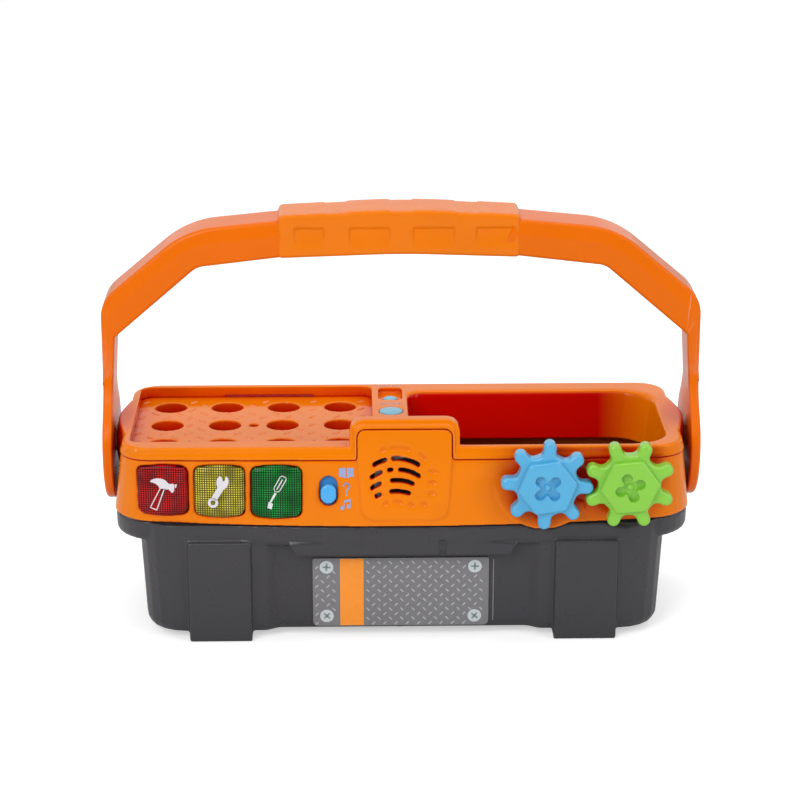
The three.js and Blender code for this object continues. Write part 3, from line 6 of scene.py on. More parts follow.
import bmesh
import bpy
from bpy.props import FloatProperty, FloatVectorProperty, IntProperty, PointerProperty
from mathutils import Matrix, Vector
from mathutils.bvhtree import BVHTree
from mathutils.geometry import delaunay_2d_cdt


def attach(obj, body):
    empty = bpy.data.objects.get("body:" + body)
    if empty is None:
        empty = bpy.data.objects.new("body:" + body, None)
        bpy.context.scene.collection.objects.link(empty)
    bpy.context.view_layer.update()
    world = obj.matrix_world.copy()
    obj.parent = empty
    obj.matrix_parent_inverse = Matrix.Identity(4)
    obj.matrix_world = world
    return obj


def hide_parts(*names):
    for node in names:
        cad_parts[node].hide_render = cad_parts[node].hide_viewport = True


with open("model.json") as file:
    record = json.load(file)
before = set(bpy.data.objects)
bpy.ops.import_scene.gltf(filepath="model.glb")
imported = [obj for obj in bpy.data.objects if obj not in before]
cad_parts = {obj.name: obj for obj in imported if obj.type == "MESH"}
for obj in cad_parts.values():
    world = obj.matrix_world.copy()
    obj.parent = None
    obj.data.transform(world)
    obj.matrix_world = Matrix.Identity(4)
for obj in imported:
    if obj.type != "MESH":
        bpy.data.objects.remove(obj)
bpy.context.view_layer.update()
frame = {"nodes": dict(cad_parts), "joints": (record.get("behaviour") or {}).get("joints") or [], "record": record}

bl_info = {
    "name": "Toy tool box",
    "version": (1, 0, 0),
    "blender": (4, 5, 0),
    "location": "3D View > Sidebar > Tool Box",
    "description": "Makes the shown pieces, finishes and stage of a toy tool box",
    "category": "Add Mesh",
}

MM = 0.001
# The handle's pivots lie over Y = 0 in the lengths below, and this moves them to the frame
SHIFT = next(j["pos_m"][1] for j in frame["joints"] if j["name"] == "handle_swing")


# Colours and materials


def paint(red, green, blue):
    """A screen colour, 0 to 255, as Blender's linear colour."""
    return tuple(
        c / 12.92 if c <= 0.04045 else ((c + 0.055) / 1.055) ** 2.4
        for c in (red / 255, green / 255, blue / 255)
    )


def add_node(tree, kind, inputs=None, **settings):
    """Adds a node to a tree. An input is a value, or the socket that feeds it."""
    node = tree.nodes.new(kind)
    for key, value in settings.items():
        setattr(node, key, value)
    for key, value in (inputs or {}).items():
        if isinstance(value, bpy.types.NodeSocket):
            tree.links.new(value, node.inputs[key])
        else:
            node.inputs[key].default_value = value
    return node


class Nodes:
    """Adds and links the nodes of one material."""

    def __init__(self, name):
        self.material = bpy.data.materials.new(name)
        self.material.use_nodes = True
        self.tree = self.material.node_tree
        self.shader = self.tree.nodes["Principled BSDF"]
        self.place = self.tree.nodes.new("ShaderNodeTexCoord").outputs["Object"]

    def add(self, kind, inputs=None, **settings):
        return add_node(self.tree, kind, inputs, **settings)

    def noise(self, size, detail=3.0, stretch=None):
        """Noise whose lumps are about size long, from 0 to 1."""
        place = self.place
        if stretch:
            place = self.add(
                "ShaderNodeMapping", {"Vector": place, "Scale": stretch}
            ).outputs[0]
        return self.add(
            "ShaderNodeTexNoise",
            {"Vector": place, "Scale": 1 / size, "Detail": detail, "Roughness": 0.55},
        ).outputs["Fac"]

    def spread(self, value, low, high, start=0.3, end=0.7):
        return self.add(
            "ShaderNodeMapRange",
            {
                "Value": value,
                "From Min": start,
                "From Max": end,
                "To Min": low,
                "To Max": high,
            },
        ).outputs["Result"]

    def times(self, one, other):
        return self.add("ShaderNodeMath", {0: one, 1: other}, operation="MULTIPLY").outputs[0]

    def within(self, low, high, blend):
        """1 inside a box given in millimetres, falling to 0 over the blends before and after it."""
        axes = self.add("ShaderNodeSeparateXYZ", {0: self.place})
        share = None
        for axis in range(3):
            start, end = in_frame(low)[axis], in_frame(high)[axis]
            fade_in, fade_out = (reach * MM for reach in blend[axis])
            along = self.times(
                self.spread(axes.outputs[axis], 0, 1, start - fade_in, start),
                self.spread(axes.outputs[axis], 1, 0, end, end + fade_out),
            )
            share = self.times(share, along) if share else along
        return share

    def mix(self, share, one, other):
        node = self.add("ShaderNodeMix", data_type="RGBA")
        for key, value in ((0, share), (6, one), (7, other)):
            if isinstance(value, bpy.types.NodeSocket):
                self.tree.links.new(value, node.inputs[key])
            elif key == 0:
                node.inputs[key].default_value = value
            else:
                node.inputs[key].default_value = (*value, 1)
        return node.outputs[2]

    def bump(self, height, depth, strength=1.0, under=None):
        inputs = {"Height": height, "Distance": depth, "Strength": strength}
        if under is not None:
            inputs["Normal"] = under
        return self.add("ShaderNodeBump", inputs).outputs["Normal"]

    def ripple(self, axis, pitch):
        """Rounded ribs along one axis, from 0 to 1. The texture turns 20 radians in one unit."""
        whole_turn = 2 * math.pi / 20
        return self.add(
            "ShaderNodeTexWave",
            {"Vector": self.place, "Scale": whole_turn / pitch},
            bands_direction=axis,
        ).outputs["Fac"]

    def set(self, **sockets):
        names = {
            "colour": "Base Color",
            "roughness": "Roughness",
            "metallic": "Metallic",
            "normal": "Normal",
            "specular": "Specular IOR Level",
            "coat": "Coat Weight",
            "coat_roughness": "Coat Roughness",
        }
        for key, value in sockets.items():
            socket = self.shader.inputs[names[key]]
            if isinstance(value, bpy.types.NodeSocket):
                self.tree.links.new(value, socket)
            elif key == "colour":
                socket.default_value = (*value, 1)
            else:
                socket.default_value = value
        return self


def moulded(
    name, colour, roughness=0.28, specular=0.45, grain=0.00001, edge_wear_and_highlight=0.12, painted_recess_shade=None, painted_shade_cavity=None
):
    """Injection moulded plastic: cloudy colour, uneven gloss, fine grain and paler edges, which stand
    for rubbing and, where they are paled strongly, a painted highlight. The deep shade colour is
    painted shade: it is painted where the plastic closes in, and over all the walls inside a given box."""
    made = Nodes(name)
    cloud_size, paling_patch_size, smear_size, dent_size, grain_size = 0.045, 0.004, 0.012, 0.02, 0.0006
    tint, paler = 0.06, 0.3
    deep = tuple(c * (1 - tint) for c in colour)
    pale = tuple(c + (1 - c) * paler for c in colour)
    cloud = made.spread(made.noise(cloud_size, 2), 0, 1)
    body = made.mix(cloud, deep, colour)
    edges = made.add("ShaderNodeNewGeometry").outputs["Pointiness"]
    # Paler edges by pointiness: rubbing at low strength, and painted highlight along the edges where the strength
    # is high.
    paling_from, paling_to, least_paled = 0.53, 0.62, 0.3
    worn_and_highlit = made.spread(edges, 0, edge_wear_and_highlight, paling_from, paling_to)
    patchy_edge_paling = made.times(worn_and_highlit, made.spread(made.noise(paling_patch_size), least_paled, 1))
    body = made.mix(patchy_edge_paling, body, pale)
    # Painted shade: ambient occlusion pulls the colour towards the deep shade colour where the plastic closes in.
    if painted_recess_shade:
        reach, shut, wide_open = 0.03, 0.3, 0.92
        closed = made.add("ShaderNodeAmbientOcclusion", {"Distance": reach}, samples=6).outputs["AO"]
        body = made.mix(made.spread(closed, 1, 0, shut, wide_open), body, painted_recess_shade)
    # Painted shade: everything within the given box takes the deep shade colour.
    if painted_shade_cavity:
        body = made.mix(made.within(*painted_shade_cavity), body, painted_recess_shade)
    smear = made.spread(made.noise(smear_size, 4), roughness * 0.85, roughness * 1.2)
    dent_depth = 0.00003
    dents = made.bump(made.noise(dent_size, 1), dent_depth, 0.3)
    skin = made.bump(made.noise(grain_size, 2), grain, 0.6, dents)
    return made.set(colour=body, roughness=smear, normal=skin, specular=specular).material


def prismed(name, colour, pitch=0.00125):
    """Clear plastic with fine prisms moulded behind a smooth glossy face. The prisms' light is painted into the
    colour: painted highlight in the cells, painted shade in the grooves.
    """
    made = Nodes(name)
    across = made.ripple("X", pitch)
    up = made.ripple("Z", pitch)
    cell = made.times(across, up)
    # Painted light: lit cells and shaded grooves stand in for the light through the prisms.
    groove_shade = tuple(c * 0.2 for c in colour)
    cell_glint = tuple(min(c * 2.2 + 0.01, 1) for c in colour)
    patch_size, dimmest_glint, groove, top = 0.009, 0.25, 0.15, 0.6
    patch = made.spread(made.noise(patch_size, 1), dimmest_glint, 1)
    face = made.mix(made.times(made.spread(cell, 0, 1, groove, top), patch), groove_shade, cell_glint)
    return made.set(
        colour=face,
        roughness=made.spread(made.noise(0.003), 0.25, 0.4),
        normal=made.bump(cell, 0.00012, 0.6),
        specular=0.12,
        coat=0.2,
        coat_roughness=0.04,
    ).material


def plated(name, colour, roughness=0.3, metallic=1.0):
    """Plated steel with fine turning marks and dull spots."""
    made = Nodes(name)
    dull = tuple(c * 0.8 for c in colour)
    spots = made.spread(made.noise(0.0015, 4), 0, 1)
    marks = made.noise(0.0004, 2, (1, 1, 6))
    return made.set(
        colour=made.mix(spots, dull, colour),
        roughness=made.spread(marks, roughness * 0.8, roughness * 1.3),
        metallic=metallic,
        normal=made.bump(marks, 0.00002, 0.5),
    ).material


def laminate(name, colour):
    """Circuit board: a woven ground under green varnish with paler tracks."""
    made = Nodes(name)
    weave = made.add("ShaderNodeTexBrick", {"Vector": made.place, "Scale": 500.0}).outputs["Fac"]
    tracks = made.add(
        "ShaderNodeTexWave", {"Vector": made.place, "Scale": 260.0, "Distortion": 3.0}
    ).outputs["Fac"]
    pale = tuple(min(c * 1.5 + 0.02, 1) for c in colour)
    base = made.mix(made.spread(tracks, 0, 0.6, 0.6, 0.7), colour, pale)
    return made.set(
        colour=base,
        roughness=made.spread(made.noise(0.003), 0.3, 0.45),
        normal=made.bump(weave, 0.00003, 0.5),
    ).material


def fibre(name, colour, roughness=0.85):
    """Pressed paper or ferrite: matt, speckled and slightly rough."""
    made = Nodes(name)
    pale = tuple(c * 1.5 + 0.01 for c in colour)
    specks = made.noise(0.0007, 5)
    return made.set(
        colour=made.mix(made.spread(specks, 0, 1), colour, pale),
        roughness=made.spread(specks, roughness * 0.9, roughness),
        normal=made.bump(specks, 0.00008, 0.8),
        specular=0.3,
    ).material


# Shapes, in millimetres


def inside(point, loop):
    """Whether a point lies within a closed line."""
    crossings = 0
    for a, b in zip(loop, loop[1:] + loop[:1]):
        if (a.y > point.y) != (b.y > point.y):
            crossings += point.x < a.x + (point.y - a.y) * (b.x - a.x) / (b.y - a.y)
    return crossings % 2


class Shape:
    """Points and faces of one closed piece, collected in millimetres."""

    def __init__(self):
        self.points, self.faces = [], []

    def ring(self, points):
        start = len(self.points)
        self.points.extend(Vector(p) for p in points)
        return list(range(start, len(self.points)))

    def bridge(self, low, high):
        count = len(low)
        for i in range(count):
            j = (i + 1) % count
            self.faces.append((low[i], low[j], high[j], high[i]))

    def chain(self, rings):
        """Rings of equal counts joined one after another, as vertex numbers."""
        made = [self.ring(r) for r in rings]
        for low, high in zip(made, made[1:]):
            self.bridge(low, high)
        return made

    def lid(self, *rings):
        """Fills a ring, less the rings that follow it, with triangles."""
        loose = [i for ring in rings for i in ring]
        normal = Vector((0, 0, 0))
        for a, b in zip(rings[0], rings[0][1:] + rings[0][:1]):
            normal += self.points[a].cross(self.points[b])
        turn = normal.rotation_difference(Vector((0, 0, 1)))
        flat = [(turn @ self.points[i]).to_2d() for i in loose]
        edges, loops, start = [], [], 0
        for ring in rings:
            count = len(ring)
            edges += [(start + i, start + (i + 1) % count) for i in range(count)]
            loops.append(flat[start:start + count])
            start += count
        filled = delaunay_2d_cdt(flat, edges, [], 1, 1e-5)
        for face in filled[2]:
            numbers = [filled[3][i][0] for i in face if filled[3][i]]
            if len(numbers) < 3:
                continue
            middle = sum((flat[i] for i in numbers), Vector((0, 0))) / 3
            if sum(inside(middle, loop) for loop in loops) % 2:
                self.faces.append(tuple(loose[i] for i in numbers))

    def loft(self, rings):
        made = self.chain(rings)
        self.lid(made[0])
        self.lid(made[-1])
        return self

    def move(self, matrix):
        self.points = [matrix @ p for p in self.points]
        return self

    def merge(self, other):
        start = len(self.points)
        self.points.extend(other.points)
        self.faces.extend(tuple(i + start for i in face) for face in other.faces)
        return self


def in_frame(point):
    return Vector((point[0] * MM, point[1] * MM + SHIFT, point[2] * MM))


def finish(mesh, crease):
    work = bmesh.new()
    work.from_mesh(mesh)
    bmesh.ops.remove_doubles(work, verts=work.verts, dist=1e-7)
    bmesh.ops.recalc_face_normals(work, faces=work.faces)
    work.to_mesh(mesh)
    work.free()
    mesh.polygons.foreach_set("use_smooth", [True] * len(mesh.polygons))
    mesh.set_sharp_from_angle(angle=math.radians(crease))
    mesh.update()


def settle(thing, material, body, replaces):
    thing.data.materials.clear()
    thing.data.materials.append(material)
    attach(thing, body)
    if replaces:
        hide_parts(*replaces)
    return thing


def piece(name, shape, material, body, replaces=(), crease=32):
    """One new object from a shape, riding on a body of the frame."""
    mesh = bpy.data.meshes.new(name)
    mesh.from_pydata([in_frame(p) for p in shape.points], [], shape.faces)
    finish(mesh, crease)
    thing = bpy.data.objects.new(name, mesh)
    bpy.context.scene.collection.objects.link(thing)
    weigh = thing.modifiers.new("even_normals", "WEIGHTED_NORMAL")
    weigh.keep_sharp = True
    return settle(thing, material, body, replaces)


def softened(name, node, voxel, rounds, keep, material, body):
    """A CAD shell with its edges rounded off, as a mould leaves them."""
    mesh = frame["nodes"][node].data.copy()
    mesh.name = name
    work = bmesh.new()
    work.from_mesh(mesh)
    bmesh.ops.remove_doubles(work, verts=work.verts, dist=1e-7)
    work.to_mesh(mesh)
    work.free()
    thing = bpy.data.objects.new(name, mesh)
    bpy.context.scene.collection.objects.link(thing)
    grid = thing.modifiers.new("grid", "REMESH")
    grid.mode = "VOXEL"
    grid.voxel_size = voxel * MM * 1
    grid.use_smooth_shade = True
    smooth = thing.modifiers.new("smooth", "SMOOTH")
    smooth.factor = 0.5
    smooth.iterations = rounds
    if keep < 1:
        thin = thing.modifiers.new("thin", "DECIMATE")
        thin.ratio = keep
        ease = thing.modifiers.new("ease", "SMOOTH")
        ease.factor = 0.35
        ease.iterations = 2
    bpy.context.view_layer.update()
    ready = bpy.data.meshes.new_from_object(
        thing.evaluated_get(bpy.context.evaluated_depsgraph_get())
    )
    thing.modifiers.clear()
    thing.data = ready
    ready.polygons.foreach_set("use_smooth", [True] * len(ready.polygons))
    ready.set_sharp_from_angle(angle=math.radians(70))
    return settle(thing, material, body, [node])


def arc(centre, radius, start, end, steps):
    return [
        (
            centre[0] + radius * math.cos(start + (end - start) * i / steps),
            centre[1] + radius * math.sin(start + (end - start) * i / steps),
        )
        for i in range(steps + 1)
    ]


def circle(centre, radius, steps):
    return arc(centre, radius, 0, 2 * math.pi * (steps - 1) / steps, steps - 1)


def corner(before, here, after, radius, steps):
    """The arc that turns one corner of a line."""
    here = Vector(here)
    back = (Vector(before) - here).normalized()
    on = (Vector(after) - here).normalized()
    half = back.angle(on) / 2
    reach = radius / math.tan(half)
    centre = here + (back + on).normalized() * radius / math.sin(half)
    first = here + back * reach - centre
    last = here + on * reach - centre
    start = math.atan2(first.y, first.x)
    turn = math.atan2(first.cross(last), first.dot(last))
    return arc(centre, radius, start, start + turn, steps)


def rounded(corners, steps=6, closed=True):
    """An outline through corners (x, y, radius), each turned in an arc."""
    outline = []
    count = len(corners)
    for i, (x, y, radius) in enumerate(corners):
        at_end = not closed and i in (0, count - 1)
        if radius <= 0 or at_end:
            outline.append((x, y))
            continue
        outline += corner(corners[i - 1][:2], (x, y), corners[(i + 1) % count][:2], radius, steps)
    return outline


def shrunk(outline, inset):
    """The outline moved inwards along its own normals."""
    if inset == 0:
        return outline
    count = len(outline)
    area = sum(
        outline[i][0] * outline[(i + 1) % count][1] - outline[(i + 1) % count][0] * outline[i][1]
        for i in range(count)
    )
    side = 1 if area > 0 else -1
    moved = []
    for i in range(count):
        a, b, c = Vector(outline[i - 1]), Vector(outline[i]), Vector(outline[(i + 1) % count])
        one = (b - a).normalized()
        two = (c - b).normalized()
        one = Vector((-one.y, one.x)) * side
        two = Vector((-two.y, two.x)) * side
        normal = (one + two).normalized()
        lean = max(normal.dot(one), 0.5)
        moved.append(tuple(b + normal * inset / lean))
    return moved


def edge_steps(edge, steps):
    """Insets and drops that carry a side wall round on to a face."""
    return [
        (edge * (1 - math.cos(math.pi / 2 * i / steps)), edge * (1 - math.sin(math.pi / 2 * i / steps)))
        for i in range(steps + 1)
    ]


def plate(outline, back, front, edge=0.0, steps=3, crown=()):
    """A plate from an outline in (x, z) that faces -Y, with a round front edge.
    Crown adds rings of (inset, rise) on the face."""
    rings = [[(x, back, z) for x, z in outline]]
    for inset, drop in edge_steps(edge, steps) if edge > 0 else [(0, 0)]:
        rings.append([(x, front + drop, z) for x, z in shrunk(outline, inset)])
    for inset, rise in crown:
        rings.append([(x, front - rise, z) for x, z in shrunk(outline, edge + inset)])
    return Shape().loft(rings)


def turned(profile, centre, steps=40):
    """A body of revolution about the upright through a centre, from points (radius, height)."""
    return Shape().loft(
        [[(x, y, height) for x, y in circle(centre, radius, steps)] for radius, height in profile]
    )


def inked(outlines, surface, thick=0.08, sunk=0.03):
    """Thin closed plates whose outlines (u, v) lie on a surface(u, v, proud)."""
    shape = Shape()
    for outline in outlines:
        shape.merge(
            Shape().loft([[surface(u, v, rise) for u, v in outline] for rise in (-sunk, thick)])
        )
    return shape


def bar(centre, length, width, turn, nose=0.3):
    """A small bar with drawn-in ends, as the outline of one raised mark."""
    along = Vector((math.cos(turn), math.sin(turn)))
    across = Vector((-along.y, along.x))
    half, side = length / 2, width / 2
    shares = ((-1, 0), (-1 + nose, -1), (1 - nose, -1), (1, 0), (1 - nose, 1), (-1 + nose, 1))
    return [tuple(Vector(centre) + along * half * u + across * side * v) for u, v in shares]


def stroke(points, width):
    """Outlines of the straight strokes between points, with square ends."""
    made = []
    for a, b in zip(points, points[1:]):
        a, b = Vector(a), Vector(b)
        along = (b - a).normalized() * width / 2
        across = Vector((-along.y, along.x))
        start, end = a - along, b + along
        corners = (start - across, end - across, end + across, start + across)
        made.append([tuple(place) for place in corners])
    return made


def oblong(left, foot, right, top):
    """The corners of an oblong, from its lower left and against the clock."""
    return [(left, foot), (right, foot), (right, top), (left, top)]


def tread(low, high, step, row):
    """Centres and turns of a tread plate's bars: rows lean one way and the other in turn."""
    rows = int((high[1] - low[1]) / row)
    for j in range(rows + 1):
        shift = step / 2 * (j % 2)
        for i in range(int((high[0] - low[0] - shift) / step) + 1):
            yield (low[0] + shift + i * step, low[1] + j * row), math.radians(45 - 90 * (j % 2))


def smooth_step(value, start, end):
    share = min(max((value - start) / (end - start), 0), 1)
    return share * share * (3 - 2 * share)


def window(value, low, high, blend):
    """1 between two edges, falling to 0 over the blend outside them."""
    return smooth_step(value, low - blend, low) * (1 - smooth_step(value, high, high + blend))


# Places on the slanting front


RIM, PARTING = 110.3, 68.0


def front_wall(x, z):
    """How far forward the orange front stands at one place."""
    share = (RIM - z) / (RIM - PARTING)
    half = 149.3 + share * 6.0
    return -(55.4 - share * 6.8) - share * 13.6 * (1 - (x / half) ** 2)


def on_wall(x, z, rise):
    """A place that stands out from the orange front."""
    return (x, front_wall(x, z) - rise, z)


def on_front(x, z):
    """The turn and place that carry a flat shape on to the orange front."""
    reach = 5.0
    rise = (front_wall(x, z + reach) - front_wall(x, z - reach)) / (2 * reach)
    run = (front_wall(x + reach, z) - front_wall(x - reach, z)) / (2 * reach)
    turn = Matrix.Rotation(math.atan(run), 4, "Z") @ Matrix.Rotation(-math.atan(rise), 4, "X")
    return Matrix.Translation((x, front_wall(x, z), z)) @ turn


# Settings


def length(name, description, value):
    return FloatProperty(
        name=name, description=description, default=value * MM, unit="LENGTH", subtype="DISTANCE"
    )


def colour(name, description, value):
    return FloatVectorProperty(
        name=name, description=description, default=paint(*value), subtype="COLOR"
    )


def power(name, value):
    return FloatProperty(name=name, description="Power of this lamp", default=value, unit="POWER")


class StageSettings(bpy.types.PropertyGroup):
    """Camera, floor and lamps."""

    camera_lens: FloatProperty(
        name="Camera lens", description="Focal length of the camera", default=115.2, unit="CAMERA"
    )
    camera_place: FloatVectorProperty(
        name="Camera place",
        description="Where the camera stands",
        default=(-0.0279, -1.3312 + SHIFT, 0.5510),
        subtype="TRANSLATION",
    )
    camera_tilt: FloatProperty(
        name="Camera tilt",
        description="How far the camera looks up from straight down",
        default=math.radians(72),
        subtype="ANGLE",
    )
    camera_turn: FloatProperty(
        name="Camera turn",
        description="How far the camera turns about the upright",
        default=math.radians(-1.2),
        subtype="ANGLE",
    )
    floor_size: length("Floor", "Length of the floor", 12000)
    floor_colour: colour("Floor colour", "Colour of the floor", (236, 236, 236))
    key_power: power("Key lamp", 13.0)
    fill_power: power("Fill lamp", 5.5)
    top_power: power("Top lamp", 8.0)
    room_light: FloatProperty(
        name="Room light", description="Strength of the light from all round", default=0.5
    )


class ColourSettings(bpy.types.PropertyGroup):
    """Colours of the plastics and prints."""

    orange: colour("Orange", "Housing, tray and deck", (242, 128, 2))
    # Painted shade: the deep red painted where the orange closes in and over the deck's hollow.
    painted_recess_shade: colour("Recess", "What the orange throws on itself where it closes in", (205, 8, 0))
    handle: colour("Handle", "Handle and its covers", (236, 110, 2))
    grip: colour("Grip", "Sleeve on the handle", (238, 122, 2))
    charcoal: colour("Charcoal", "Tub", (60, 59, 63))
    red: colour("Red", "Red light button", (178, 2, 8))
    yellow: colour("Yellow", "Yellow light button", (176, 164, 52))
    green: colour("Green", "Green light button", (4, 122, 44))
    sky: colour("Sky blue", "Blue gear", (84, 176, 222))
    lime: colour("Lime", "Green gear", (138, 206, 66))
    slider: colour("Slider", "Knob of the slide switch", (76, 176, 242))
    plate: colour("Slide plate", "Plate behind the knob", (44, 140, 215))
    button: colour("Buttons", "ON and OFF buttons", (120, 190, 216))
    print_white: colour("White print", "Tool signs", (226, 222, 228))
    print_blue: colour("Blue print", "Signs beside the switch", (150, 165, 205))
    print_dusk: colour("Grey print", "ON and OFF", (170, 160, 170))
    print_orange: colour("Orange print", "Stripe on the label", (255, 148, 0))
    label_ground: colour("Label ground", "Ground of the label", (122, 121, 124))
    label_mark: colour("Label marks", "Bars on the label", (176, 175, 178))


class GearSettings(bpy.types.PropertyGroup):
    """Sizes of the two gears, in metres."""

    teeth: IntProperty(name="Teeth", description="Teeth on each gear", default=8, min=4)
    tip: length("Tip", "Radius over the teeth", 24.4)
    root: length("Root", "Radius between the teeth", 16.6)
    tooth: length("Tooth", "Half the thickness of a tooth", 3.4)
    edge: length("Edge", "Radius of the front edges", 1.9)
    boss: length("Boss", "Radius of the six-sided boss", 16.0)


class HandleSettings(bpy.types.PropertyGroup):
    """Sizes of the carry handle, in metres."""

    half_depth: length("Half depth", "Half the depth of the arch", 13.3)
    edge: length("Edge", "Radius of the long edges", 2.2)
    ridge: length("Ridge", "How far the ridge along the front stands out", 0.9)
    dimple: length("Dimple", "Depth of the dimples in the grip", 1.3)
    wave: length("Wave", "Depth of the hollows across the grip's top", 0.5)


class ShellSettings(bpy.types.PropertyGroup):
    """How finely the big shells are made, in metres."""

    grid: length("Grid", "Cell of the rounding grid", 0.62)
    rounds: IntProperty(name="Rounds", description="How often edges are eased", default=4, min=0)
    keep: FloatProperty(
        name="Keep",
        description="Share of the faces that stay",
        default=0.35,
        min=0.05,
        max=1,
        subtype="FACTOR",
    )


FINISH = {}


def mix_finishes(colours):
    """Makes every finish once."""
    # The box round the deck's hollow: all its walls are painted in the deep shade colour, as painted shade.
    well_low, well_high, well_blend = (3, -52, 78), (112, 44, 108.4), ((1, 26), (1.2, 1.2), (1, 1.4))
    painted_well_shade = (well_low, well_high, well_blend)
    # Painted shade for the tray's slot: the deep shade colour made darker still.
    deep = tuple(c * 0.6 for c in colours.painted_recess_shade)
    FINISH.update(
        # Strong edge paling on the orange, deck and handle is painted highlight; the deep shade colour on them is
        # painted shade.
        orange=moulded("orange_gloss", colours.orange, 0.1, 0.16, edge_wear_and_highlight=0.7, painted_recess_shade=colours.painted_recess_shade),
        deck=moulded("deck_gloss_hollow_shade", colours.orange, 0.1, 0.16, edge_wear_and_highlight=0.9, painted_recess_shade=colours.painted_recess_shade, painted_shade_cavity=painted_well_shade),
        handle=moulded("handle_gloss", colours.handle, 0.2, 0.14, edge_wear_and_highlight=0.6),
        grip=moulded("grip_satin", colours.grip, 0.24, 0.2),
        charcoal=moulded("charcoal_satin", colours.charcoal, 0.3, 0.4, 0.00002, 0.1),
        plate=moulded("slide_plate_gloss", colours.plate, 0.2, 0.3),
        head=moulded("screw_print", paint(200, 207, 209), 0.3),
        cross=moulded("cross_print", paint(128, 140, 144), 0.3),
        sky=moulded("sky_gloss", colours.sky, 0.11, 0.5),
        lime=moulded("lime_gloss", colours.lime, 0.11, 0.5),
        slider=moulded("slider_gloss", colours.slider, 0.2),
        button=moulded("button_gloss", colours.button, 0.25),
        red=prismed("red_prisms", colours.red),
        yellow=prismed("yellow_prisms", colours.yellow),
        green=prismed("green_prisms", colours.green),
        black=moulded("black_moulding", paint(16, 16, 18), 0.45),
        milky=moulded("milky_tube", paint(240, 240, 236), 0.4),
        case=moulded("cell_sleeve", paint(58, 60, 66), 0.3),
        steel=plated("screw_plating", paint(185, 188, 192)),
        strip=plated("contact_plating", paint(192, 195, 198), 0.35),
        basket=plated("basket_plating", paint(140, 143, 148), 0.4),
        board=laminate("board_varnish", paint(30, 105, 58)),
        paper=fibre("cone_paper", paint(28, 28, 30)),
        ferrite=fibre("magnet_ferrite", paint(56, 57, 60), 0.6),
        white=moulded("white_print", colours.print_white, 0.35),
        blue=moulded("blue_print", colours.print_blue, 0.35),
        dusk=moulded("grey_print", colours.print_dusk, 0.35),
        stripe=moulded("orange_print", colours.print_orange, 0.3),
        ground=moulded("label_ground", colours.label_ground, 0.3, 0.5, 0.00002),
        mark=moulded("label_mark", colours.label_mark, 0.25),
        deep=moulded("painted_slot_shade", deep, 0.5, 0.05),
        lamp_red=moulded("lamp_red", paint(190, 30, 30), 0.1),
        lamp_yellow=moulded("lamp_yellow", paint(210, 190, 60), 0.1),
        lamp_green=moulded("lamp_green", paint(40, 160, 70), 0.1),
    )


# Operators


